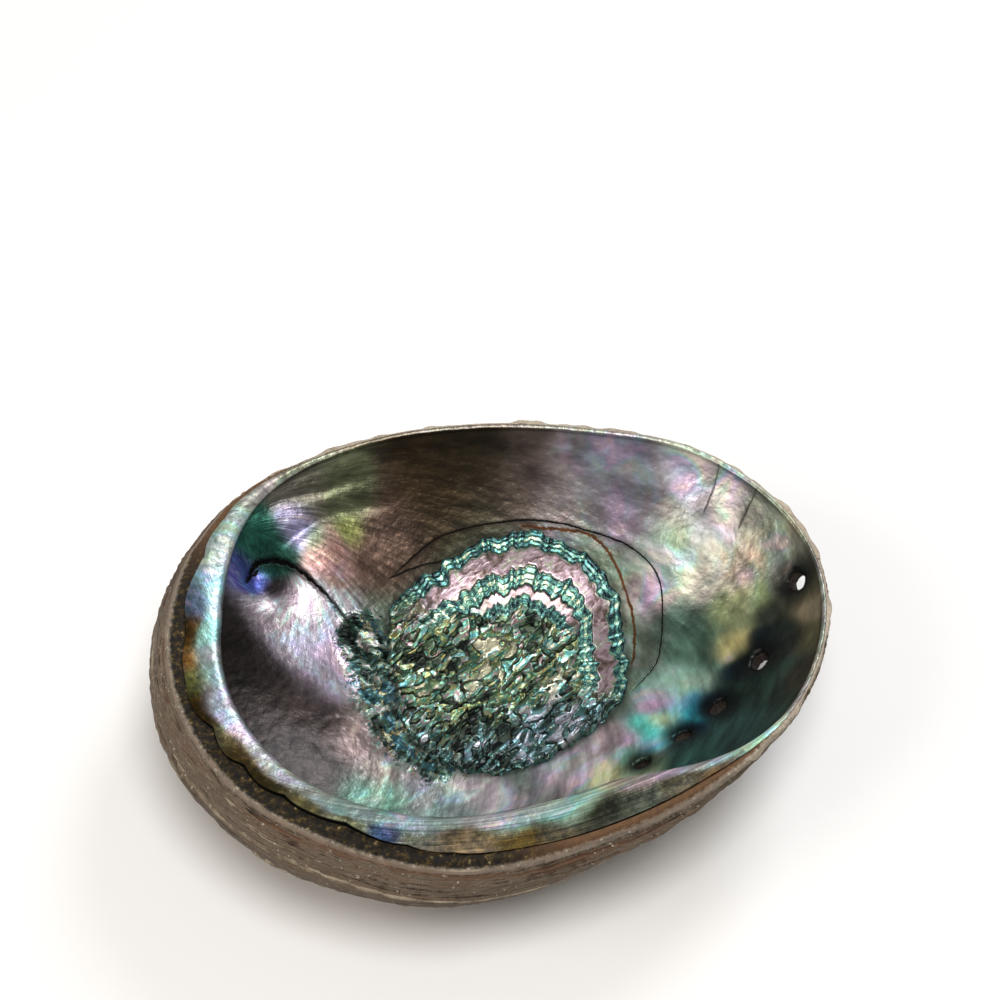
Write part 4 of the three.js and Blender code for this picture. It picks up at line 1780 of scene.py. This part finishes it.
@dataclass(frozen=True)
class Finish:
    """Base of the finishes: what the shader is told apart from colour."""

    kind: FinishKind
    metallic: float
    roughness: float
    coat: float
    coat_roughness: float
    specular: float
    bump: float
    bump_depth: float = 0.5

    def start(self, names: tuple) -> tuple[Graph, Socket, dict]:
        """Starts the material, with what its patterns read.

        Args:
            names: the facts that the mesh keeps for it.

        Returns:
            The material's graph, the place in millimetres, and the facts by name.
        """
        material = bpy.data.materials.new(self.kind.value)
        material.use_nodes = True
        material.node_tree.nodes.clear()
        graph = Graph(material.node_tree)
        place = graph.add(STRETCH, graph.add(PLACE, out="Object"), (1 / MM,) * 3)
        facts = {name: graph.add(FACT, out="Fac", attribute_name=name) for name in names}
        return graph, place, facts

    def close(self, graph: Graph, colour: Socket, level: Socket, relief: Socket) -> bpy.types.Material:
        """Joins the patterns to the shader.

        Args:
            graph: the material's graph.
            colour: its colour.
            level: its roughness.
            relief: height of its fine grain, about 0 to 1.

        Returns:
            The material.
        """
        bump = graph.add(BUMP, self.bump, self.bump_depth * MM, named={"Height": relief})
        shader = graph.add(SHADER, named={
            "Base Color": colour, "Metallic": self.metallic, "Roughness": level, "Normal": bump,
            "Specular IOR Level": self.specular, "Coat Weight": self.coat,
            "Coat Roughness": self.coat_roughness,
        })
        graph.add(SURFACE, shader)
        return bpy.data.materials[self.kind.value]


# Colour of thin nacre layers, which comes round again as they thicken.
PEARL = (
    (0.0, "#3a9a8a"), (0.13, "#4fb0c8"), (0.25, "#8288c4"), (0.38, "#b592c0"), (0.50, "#cda3b0"),
    (0.62, "#bfa894"), (0.74, "#a3a586"), (0.87, "#6fa37a"), (1.0, "#3a9a8a"),
)


@dataclass(frozen=True)
class Nacre(Finish):
    """Mother of pearl of the bowl and lip.

    Satin shine with soft edges, colour that drifts between green, teal, pink and
    silver over a few millimetres, fine growth streaks, thin dark growth lines.
    Painted shade and highlights lie in its colour patches and brightest streaks,
    painted shade down the open holes, and painted shadow along the fold from the pit.
    """

    def build(self) -> bpy.types.Material:
        """Builds the finish.

        Returns:
            The material.
        """
        names = ["age", "place", "top", "wrap", "rough", "flake", "brim", "rim line", "scar", "hole"]
        count = len(DARK_LINES + AMBER_LINES)
        names += [f"{kind} {number}" for kind in ("line", "drawn") for number in range(count)]
        graph, place, fact = self.start(names)
        add = graph.add
        # The nacre's colour patches, with painted shade and painted highlights among them.
        tint_and_painted_light = add(FACT, attribute_name="Zone")
        age, along, top = fact["age"], fact["place"], fact["top"]
        streak_at = add(JOIN, add(TIMES, age, 46.0), add(TIMES, along, 0.1), 0.0)
        across_at = add(JOIN, add(TIMES, age, 9.0), along, 7.0)
        patch_at = add(JOIN, add(TIMES, age, 9.0), add(TIMES, along, 0.07), 2.0)
        streak = add(NOISE, streak_at, 0.6, 3.0, 0.6)
        across = add(NOISE, across_at, 0.45, 3.0, 0.6)
        drift = add(NOISE, place, 1 / 13, 2.0, 0.5, named={"Distortion": 0.8})
        patch = add(NOISE, patch_at, 0.9, 3.0, 0.55, named={"Distortion": 0.7})
        # Patterns along the growth fade where its length starts over, and near the tip.
        away = add(EASE, fact["wrap"], 0.2, 0.8, 1.0, 0.0)
        young = add(TIMES, add(EASE, age, 0.6, 1.8, 1.0, 0.3), away)
        patch = add(MIX, away, drift, patch)
        fine = add(MIX, young, 0.5, add(MIX, top, streak, across))

        shade = add(EASE, fine, 0.28, 0.72, 0.6, 1.5)
        shade = add(TIMES, shade, add(EASE, patch, 0.3, 0.7, 0.72, 1.45))
        base = add(SHADE, 0.5, 1.1, shade, 1.0, tint_and_painted_light)
        phase = add(PLUS, add(TIMES, drift, 2.6), add(TIMES, patch, 1.1))
        phase = add(PLUS, phase, add(TIMES, fine, 0.35))
        sheen = add(RAMP, add(FRACTION, phase), stops=PEARL)
        parts = add(HUES, tint_and_painted_light).node
        lively = add(EASE, parts.outputs[2], 0.04, 0.36)
        muted = add(EASE, parts.outputs[1], 0.15, 0.55, 0.68, 0.35)
        glow = add(TIMES, add(TIMES, add(EASE, patch, 0.42, 0.66, 0.16, 0.62), lively), muted)
        glow = add(PLUS, glow, add(TIMES, top, 0.04), use_clamp=True)
        colour = add(TINGE, glow, base, sheen)
        # Painted highlight: bright streaks where patch and streak noise run high, blended toward a
        # near-white sheen.
        bright = add(TIMES, add(EASE, patch, 0.56, 0.72), add(EASE, fine, 0.42, 0.66))
        bright = add(TIMES, add(TIMES, bright, lively), 0.75)
        colour = add(BLEND, bright, colour, add(BLEND, 0.45, sheen, "#e8e6e0"))

        speck = add(NOISE, place, 1 / 1.5, 4.0, 0.7)
        rough = add(EASE, add(PLUS, fact["rough"], add(EASE, speck, 0.3, 0.7, -0.25, 0.25)), 0.25, 0.5)
        pick = add(PLUS, fact["flake"], add(EASE, speck, 0.3, 0.7, -0.16, 0.16))
        mottled = add(
            RAMP, pick,
            stops=(
                (0.05, "#121614"), (0.25, "#2b3833"), (0.4, "#44604f"), (0.55, "#3b6470"),
                (0.66, "#1c242b"), (0.76, "#97906a"), (0.86, "#5c9086"), (0.95, "#9a9490")
            )
        )
        wild = add(NOISE, place, 1 / 2.6, 2.0, 0.5, named={"Distortion": 2.2})
        wild = add(SIZE, add(MINUS, wild, 0.5))
        crease = add(EASE, wild, 0.006, 0.022, 0.8, 0.0)
        mottled = add(BLEND, crease, mottled, "#0a0b0a")
        colour = add(BLEND, rough, colour, mottled)

        wear = add(NOISE, place, 1 / 2, 4.0, 0.7)
        jitter = add(EASE, wear, 0.3, 0.7, -0.4, 0.5)
        inks, halos = [], []
        for number in range(count):
            off = add(SIZE, add(PLUS, fact[f"line {number}"], jitter))
            for marks, far in ((inks, 1.1), (halos, 4.5)):
                mark = add(EASE, off, 0.35, far, 1.0, 0.0)
                marks.append(add(TIMES, mark, fact[f"drawn {number}"]))
        seam, halo = inks[0], halos[0]
        for number in range(1, len(DARK_LINES)):
            seam = add(HIGHER, seam, inks[number])
            halo = add(HIGHER, halo, halos[number])
        # Dark line ink: grown lines, except along the fold from the pit, where it is painted shadow on
        # the ledge's edge.
        stains = ((add(TIMES, halo, 0.3), "#33261d"), (inks[-1], "#54331a"), (seam, "#0f0c0a"))
        for share, stain in stains:
            colour = add(BLEND, share, colour, stain)
        horn = add(BLEND, add(EASE, wear, 0.35, 0.65), "#3a2c18", "#a08c60")
        brim = add(TIMES, fact["brim"], 0.75)
        colour = add(OVERLAY, brim, colour, add(TINGE, 0.7, horn, tint_and_painted_light))
        inner = add(TIMES, add(EASE, fact["rim line"], 0.0, 1.0), 0.8)
        colour = add(BLEND, inner, colour, "#15120e")
        skirt = add(EASE, fact["scar"], 0.0, 1.6, 0.55, 0.0)
        colour = add(BLEND, skirt, colour, "#1a1612")
        # Painted shade down the open holes and round their mouths.
        bore_shade = add(EASE, fact["hole"], 0.5, 2.1, 0.96, 0.0)
        colour = add(BLEND, bore_shade, colour, "#080d0d")

        level = add(MIX, seam, add(PLUS, add(EASE, speck, 0.3, 0.7, 0.0, 0.12), self.roughness), 0.6)
        grain = add(NOISE, place, 1 / 2.6, 3.0, 0.5)
        relief = add(MINUS, add(PLUS, add(TIMES, fine, 0.5), grain), add(TIMES, seam, 1.5))
        return self.close(graph, colour, level, relief)


@dataclass(frozen=True)
class ScarNacre(Finish):
    """Crumpled nacre of the muscle scar.

    Each flake its own green, teal, gold or pink, dark clefts between them, painted
    shade and light graded across each torn sheet, smooth pink bands between fluted
    green terraces.
    """

    def build(self) -> bpy.types.Material:
        """Builds the finish.

        Returns:
            The material.
        """
        names = ("level 0", "level 40", "chance", "flute", "layer", "pink", "flaked", "crevice")
        graph, place, fact = self.start(names)
        add = graph.add
        drift = add(NOISE, place, 1 / 11, 2.0, 0.5, named={"Distortion": 0.5})
        fine = add(NOISE, place, 1 / 1.5, 4.0, 0.65, named={"Distortion": 1.2})
        shares, shades, tears = [], [], []
        # From each layer of sheets: a colour pick, painted shade and light graded across each sheet, and
        # the dark line of its torn edge.
        for name, worth in (("level 0", 0.85), ("level 40", 0.7)):
            order = add(TIMES, add(FLOOR, fact[name]), GOLDEN)
            shares.append(add(FRACTION, order))
            part = add(FRACTION, fact[name])
            shades.append(add(EASE, part, 0.0, 1.0, 0.5, 1.22))
            tears.append(add(EASE, part, 0.03, 0.16, worth, 0.0))
        pick = add(MIX, 0.25, add(FRACTION, add(PLUS, *shares)), fact["chance"])
        silk_at = add(TURN, place, (0.0, 0.0, 0.0), (0.0, 0.0, 1.0), HEAP_LEAN)
        silk_at = add(STRETCH, silk_at, (0.25, 1.0, 1.0))
        silk = add(NOISE, silk_at, 1 / 1.6, 2.0, 0.5, named={"Distortion": 1.0})
        pick = add(PLUS, pick, add(EASE, silk, 0.3, 0.7, -0.08, 0.08))
        pick = add(PLUS, pick, add(EASE, drift, 0.35, 0.65, -0.12, 0.12))
        pick = add(SPREAD, pick, 0.1, 0.9, 0.0, 1.0)
        flakes = add(
            RAMP, pick,
            stops=(
                (0.04, "#1a201b"), (0.14, "#37473a"), (0.24, "#64745a"), (0.33, "#33615a"),
                (0.42, "#8c8a5c"), (0.5, "#4d8274"), (0.58, "#a99c70"), (0.66, "#6aa89c"),
                (0.74, "#b08c90"), (0.82, "#8fb89a"), (0.9, "#7ab4bc"), (0.97, "#e0dcc0")
            )
        )
        ripple = add(PLUS, add(TIMES, fact["flute"], 0.1), add(EASE, fine, 0.2, 0.8, 0.38, 0.7))
        ripple = add(PLUS, ripple, add(EASE, fact["layer"], 0.0, 1.0, -0.13, 0.13))
        terraces = add(
            RAMP, ripple,
            stops=(
                (0.28, "#0c1718"), (0.38, "#1b3a40"), (0.46, "#3c5a50"), (0.53, "#2f7078"),
                (0.6, "#6f8f6a"), (0.67, "#5fa9a6"), (0.74, "#c9bb80"), (0.82, "#c8e6e0")
            )
        )
        pinks = add(
            RAMP, add(NOISE, place, 1 / 4, 3.0, 0.6, named={"Distortion": 0.8}),
            stops=(
                (0.3, "#4a3c38"), (0.4, "#75645f"), (0.48, "#9a8289"), (0.56, "#b5a0a8"),
                (0.63, "#93987c"), (0.7, "#c9bac0")
            )
        )
        colour = add(BLEND, fact["pink"], terraces, pinks)
        # Painted shading of the sheets from both layers, not wear.
        worn = add(TIMES, *shades)
        flakes = add(SHADE, 0.5, 1.22, worn, 1.0, flakes)
        colour = add(BLEND, fact["flaked"], colour, flakes)
        low = add(MINUS, add(SPLIT, place, out="Y"), add(TIMES, drift, 24.0))
        shaded = add(TIMES, add(EASE, low, -22.0, -8.0, 0.75, 0.0), fact["flaked"])
        blues = add(
            RAMP, pick,
            stops=(
                (0.1, "#131b1e"), (0.35, "#2a444e"), (0.5, "#3c6a74"), (0.65, "#23343c"),
                (0.8, "#5f9aa0"), (0.95, "#9aa0bc")
            )
        )
        # The blue flakes take the same painted sheet shading.
        blues = add(SHADE, 0.5, 1.0, worn, 1.0, blues)
        colour = add(BLEND, shaded, colour, blues)
        off = add(SIZE, add(MINUS, silk, 0.5))
        crease = add(EASE, off, 0.004, 0.02, 0.6, 0.0)
        for tear in tears:
            crease = add(HIGHER, crease, tear)
        crease = add(TIMES, crease, fact["flaked"])
        ink = add(HIGHER, add(EASE, fact["crevice"], 0.3, 0.8, 0.0, 0.92), crease)
        colour = add(BLEND, ink, colour, "#0b0e0b")
        level = add(MIX, ink, add(EASE, fine, 0.3, 0.7, self.roughness, self.roughness + 0.15), 0.65)
        return self.close(graph, colour, level, add(MINUS, silk, ink))


@dataclass(frozen=True)
class WeatheredOutside(Finish):
    """Outside of the shell.

    Dull chocolate and olive cords, painted lighter on their crests and darker in their
    troughs, red-brown along the holes, chalky cream crust, paler taupe with fine
    growth streaks near the lip.
    """

    def build(self) -> bpy.types.Material:
        """Builds the finish.

        Returns:
            The material.
        """
        names = (
            "near_lip", "rim_gap", "tread", "cord_place", "cord_turn", "cord_between", "cord_share",
            "row_gap", "place", "course", "cover", "collar", "shut", "trench", "side"
        )
        graph, place, fact = self.start(names)
        add = graph.add
        broad = add(NOISE, place, 1 / 14, 3.0, 0.6)
        fine = add(NOISE, place, 1 / 1.2, 4.0, 0.7)
        near_lip, gap = fact["near_lip"], fact["rim_gap"]
        turned = add(TIMES, fact["cord_place"], fact["cord_turn"])
        wide = add(COSINE, add(TIMES, turned, 0.5))
        cord = add(TIMES, add(MIX, fact["cord_between"], add(COSINE, turned), wide), fact["cord_share"])

        old = add(
            RAMP, broad,
            stops=(
                (0.3, "#2b2118"), (0.42, "#453324"), (0.5, "#4e4a33"), (0.58, "#5d4330"),
                (0.68, "#3f4a3c"), (0.78, "#6d5a44")
            )
        )
        # Painted light on the cords: crests painted lighter and troughs darker, in the brown body and in
        # the red-brown along the holes.
        lit = add(EASE, cord, -0.7, 0.8)
        colour = add(BLEND, lit, add(BLEND, 0.6, old, "#1d1610"), add(BLEND, 0.4, old, "#7d6950"))
        red = add(EASE, add(SIZE, fact["row_gap"]), 3.0, 11.0, 0.65, 0.0)
        colour = add(BLEND, red, colour, add(BLEND, lit, "#4a2417", "#7d4a33"))
        stepped = add(TIMES, add(EASE, fact["tread"], 0.8, 0.98), 0.55)
        colour = add(BLEND, stepped, colour, "#1c1712")
        teal = add(EASE, add(NOISE, place, 1 / 6, 4.0, 0.7), 0.62, 0.7, 0.0, 0.6)
        colour = add(BLEND, teal, colour, "#4d7268")

        run = add(TIMES, fact["place"], 0.035)
        stripe_at = add(JOIN, fact["course"], run, 9.0)
        stripe = add(NOISE, stripe_at, 0.42, 6.0, 0.78)
        mottle = add(NOISE, place, 1 / 4, 5.0, 0.7)
        stripe = add(MIX, 0.22, stripe, mottle)
        lip_side = add(
            RAMP, stripe,
            stops=(
                (0.38, "#1b130b"), (0.44, "#46382a"), (0.49, "#7d7061"), (0.53, "#564838"),
                (0.57, "#8d806c"), (0.63, "#b8ac96")
            )
        )
        tone = add(
            RAMP, broad,
            stops=((0.32, "#5d3a22"), (0.45, "#6f6250"), (0.55, "#857c70"), (0.68, "#4e4a2e"))
        )
        lip_side = add(OVERLAY, 0.35, lip_side, tone)
        rust_at = add(JOIN, fact["course"], run, 4.0)
        rust = add(EASE, add(NOISE, rust_at, 0.5, 4.0, 0.7), 0.5, 0.6, 0.0, 0.75)
        rust = add(TIMES, rust, add(EASE, gap, 1.0, 6.0, 1.0, 0.15))
        lip_side = add(BLEND, rust, lip_side, "#5e3a22")
        freckle = add(EASE, fine, 0.62, 0.7, 0.0, 0.7)
        lip_side = add(BLEND, freckle, lip_side, "#c9c0b0")
        colour = add(BLEND, near_lip, colour, lip_side)

        grit = add(EASE, add(NOISE, place, 1 / 1.7, 6.0, 0.75), 0.3, 0.7, -0.06, 0.06)
        crust = add(PLUS, fact["cover"], grit)
        chalk = add(RAMP, fine, stops=((0.3, "#6f6450"), (0.5, "#a3967a"), (0.7, "#c4baa2")))
        colour = add(BLEND, add(EASE, crust, -0.004, 0.008, 0.0, 0.93), colour, chalk)
        scuff = add(NOISE, place, 1 / 2.2, 5.0, 0.75)
        # Pale scuffs: partly wear, partly painted highlight leaning toward the cord crests.
        high = add(PLUS, scuff, add(TIMES, lit, 0.12))
        colour = add(BLEND, add(EASE, high, 0.7, 0.78, 0.0, 0.7), colour, "#cfc7b8")

        collar, shut = fact["collar"], fact["shut"]
        closed = add(TIMES, add(EASE, collar, 0.4, 0.9, 0.85, 0.0), shut)
        closed = add(TIMES, closed, add(EASE, near_lip, 0.2, 1.0, 1.0, 0.35))
        colour = add(BLEND, closed, colour, "#5f3020")
        ring = add(SIZE, add(MINUS, collar, 0.82))
        pale = add(TIMES, add(EASE, ring, 0.06, 0.2, 0.8, 0.0), add(EASE, fine, 0.35, 0.6, 0.5, 1.0))
        pale = add(TIMES, pale, add(EASE, shut, 0.0, 1.0, 1.0, 0.25))
        colour = add(BLEND, pale, colour, "#b7a794")
        # Painted shade down the open holes' bores and just round their mouths.
        dark = add(TIMES, add(EASE, collar, 0.58, 0.7, 0.93, 0.0), add(MINUS, 1.0, shut))
        colour = add(BLEND, dark, colour, "#1b1511")

        edge = add(PLUS, gap, add(EASE, fine, 0.3, 0.7, -0.3, 0.3))
        groove = add(EASE, edge, -0.9, -0.2, 1.0, 0.0)
        moss = add(
            RAMP, add(NOISE, place, 1 / 1.8, 4.0, 0.7),
            stops=(
                (0.35, "#0a0703"), (0.5, "#1a1308"), (0.58, "#33270f"), (0.64, "#544319"),
                (0.7, "#8f876c")
            )
        )
        moss = add(BLEND, fact["trench"], add(BLEND, fine, "#2f1d10", "#7a5a3c"), moss)
        colour = add(BLEND, groove, colour, moss)
        chipped = add(EASE, add(SIZE, edge), 0.5, 1.3, 0.75, 0.0)
        thin = add(MINUS, 1.0, fact["side"])
        chipped = add(TIMES, chipped, add(EASE, thin, 0.0, 1.0, 0.35, 1.0))
        chipped = add(TIMES, chipped, add(EASE, collar, 0.37, 0.5))
        colour = add(BLEND, chipped, colour, add(BLEND, fine, "#8d7c68", "#cbbfae"))

        level = add(EASE, fine, 0.3, 0.7, self.roughness - 0.1, self.roughness + 0.1)
        relief = add(TIMES, cord, 0.5)
        for part in (fine, add(TIMES, stripe, near_lip), scuff):
            relief = add(PLUS, relief, part)
        return self.close(graph, colour, level, relief)


NACRE = Nacre(
    FinishKind.NACRE, metallic=0.7, roughness=0.3, coat=0.1, coat_roughness=0.22, specular=0.2,
    bump=0.55,
)
SCAR_NACRE = ScarNacre(
    FinishKind.SCAR, metallic=0.72, roughness=0.22, coat=0.2, coat_roughness=0.15, specular=0.3,
    bump=0.35, bump_depth=0.35,
)
OUTSIDE = WeatheredOutside(
    FinishKind.OUTSIDE, metallic=0.0, roughness=0.72, coat=0.0, coat_roughness=0.3, specular=0.25,
    bump=0.8,
)


# ---- stage


@dataclass(frozen=True)
class Lamp:
    """One soft lamp: where it stands round the shell and how bright it is."""

    name: str
    bearing: float
    elevation: float
    distance: float
    width: float
    watts: float
    colour: str = "#ffffff"


@dataclass(frozen=True)
class Studio:
    """Pale floor, soft lamps and the camera."""

    floor_half: float = 4.0
    floor_colour: str = "#e4e2df"
    backdrop_colour: str = "#ffffff"
    backdrop_strength: float = 0.27
    backdrop_seen: float = 0.86
    aim: tuple = (-4.007, -12.412, 0.0)
    bearing: float = -9.0
    elevation: float = 56.0
    axis_raise: float = 3.85
    distance: float = 520.0
    lens: float = 74.88
    lamps: tuple = (
        Lamp("overhead", 20.0, 75.0, 1500.0, 800.0, 17.0),
        Lamp("left", -80.0, 38.0, 1500.0, 850.0, 8.5, "#fff6ee"),
        Lamp("right back", 140.0, 40.0, 1500.0, 560.0, 10.5, "#f3f8ff"),
    )

    def direction(self, bearing: float, elevation: float) -> Vector:
        """Direction out from the shell.

        Args:
            bearing: degrees round from the front, positive to the right.
            elevation: degrees above the floor.

        Returns:
            A unit vector in the row frame.
        """
        turn, rise = math.radians(bearing), math.radians(elevation)
        return Vector(
            (math.sin(turn) * math.cos(rise), -math.cos(turn) * math.cos(rise), math.sin(rise))
        )

    def build(self) -> None:
        """Sets the floor, the light and the camera."""
        mesh = bpy.data.meshes.new("floor")
        half = self.floor_half
        mesh.from_pydata([(-half, -half, 0), (half, -half, 0), (half, half, 0), (-half, half, 0)],
                         [], [(0, 1, 2, 3)])
        material = bpy.data.materials.new("pale matt floor")
        material.use_nodes = True
        shader = material.node_tree.nodes["Principled BSDF"]
        shader.inputs["Base Color"].default_value = (*linear(self.floor_colour), 1)
        shader.inputs["Roughness"].default_value = 0.85
        mesh.materials.append(material)
        put("floor", mesh)

        world = bpy.data.worlds.new("studio")
        world.use_nodes = True
        background = world.node_tree.nodes["Background"]
        background.inputs["Color"].default_value = (*linear(self.backdrop_colour), 1)
        add = Graph(world.node_tree).add
        strength = add(MIX, add(LIGHT_PATH), self.backdrop_strength, self.backdrop_seen)
        world.node_tree.links.new(strength, background.inputs["Strength"])
        bpy.context.scene.world = world
        bpy.context.scene.view_settings.view_transform = "Standard"
        centre = Vector((0, 0, 20 * MM))
        for lamp in self.lamps:
            data = bpy.data.lights.new(lamp.name, "AREA")
            data.shape = "DISK"
            data.size = lamp.width * MM
            data.energy = lamp.watts
            data.color = linear(lamp.colour)
            thing = put(lamp.name, data)
            out = self.direction(lamp.bearing, lamp.elevation)
            thing.location = centre + out * lamp.distance * MM
            thing.rotation_euler = out.to_track_quat("Z", "Y").to_euler()
        self.camera()

    def camera(self) -> None:
        """Places the camera at the angle from which the shell is shown."""
        rest = FORM.rest()
        out = self.direction(self.bearing, self.elevation)
        place = Vector(self.aim) + out * self.distance
        axis = self.direction(self.bearing, self.elevation - self.axis_raise)
        turn = rest.to_3x3()
        data = bpy.data.cameras.new("camera")
        data.sensor_width = 36.0
        data.lens = self.lens
        data.clip_start, data.clip_end = 0.05, 20.0
        up = turn @ Vector((0, 0, 1))
        back = (turn @ axis).normalized()
        right = up.cross(back).normalized()
        pose = Matrix((right, back.cross(right), back)).transposed().to_4x4()
        pose.translation = (rest @ place) * MM
        bpy.context.scene.camera = put("camera", data)
        bpy.context.scene.camera.matrix_world = pose


# ---- scene


def clear_scene() -> None:
    """Empties what the program starts with."""
    for thing in list(bpy.data.objects):
        bpy.data.objects.remove(thing)


def main() -> None:
    """Builds the shell over its model, with its light and camera."""
    logging.basicConfig(level=logging.INFO, format="%(name)s: %(message)s")
    clear_scene()
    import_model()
    pieces = [shape.build() for shape in (NacreLining(), OuterWall(), MuscleScar())]
    reliefs = LiningRelief(), WallRelief(), ScarRelief()
    for piece, relief, finish in zip(pieces, reliefs, (NACRE, OUTSIDE, SCAR_NACRE)):
        modify(piece, relief, finish.build())
        log.info("%s: %s", piece.name, finish.kind.value)
    HoleCutter().cut(pieces[:2])
    for piece in pieces:
        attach(piece, "root")
        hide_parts(NODE)
    Studio().build()
    bpy.context.view_layer.update()


if __name__ == "__main__":
    main()
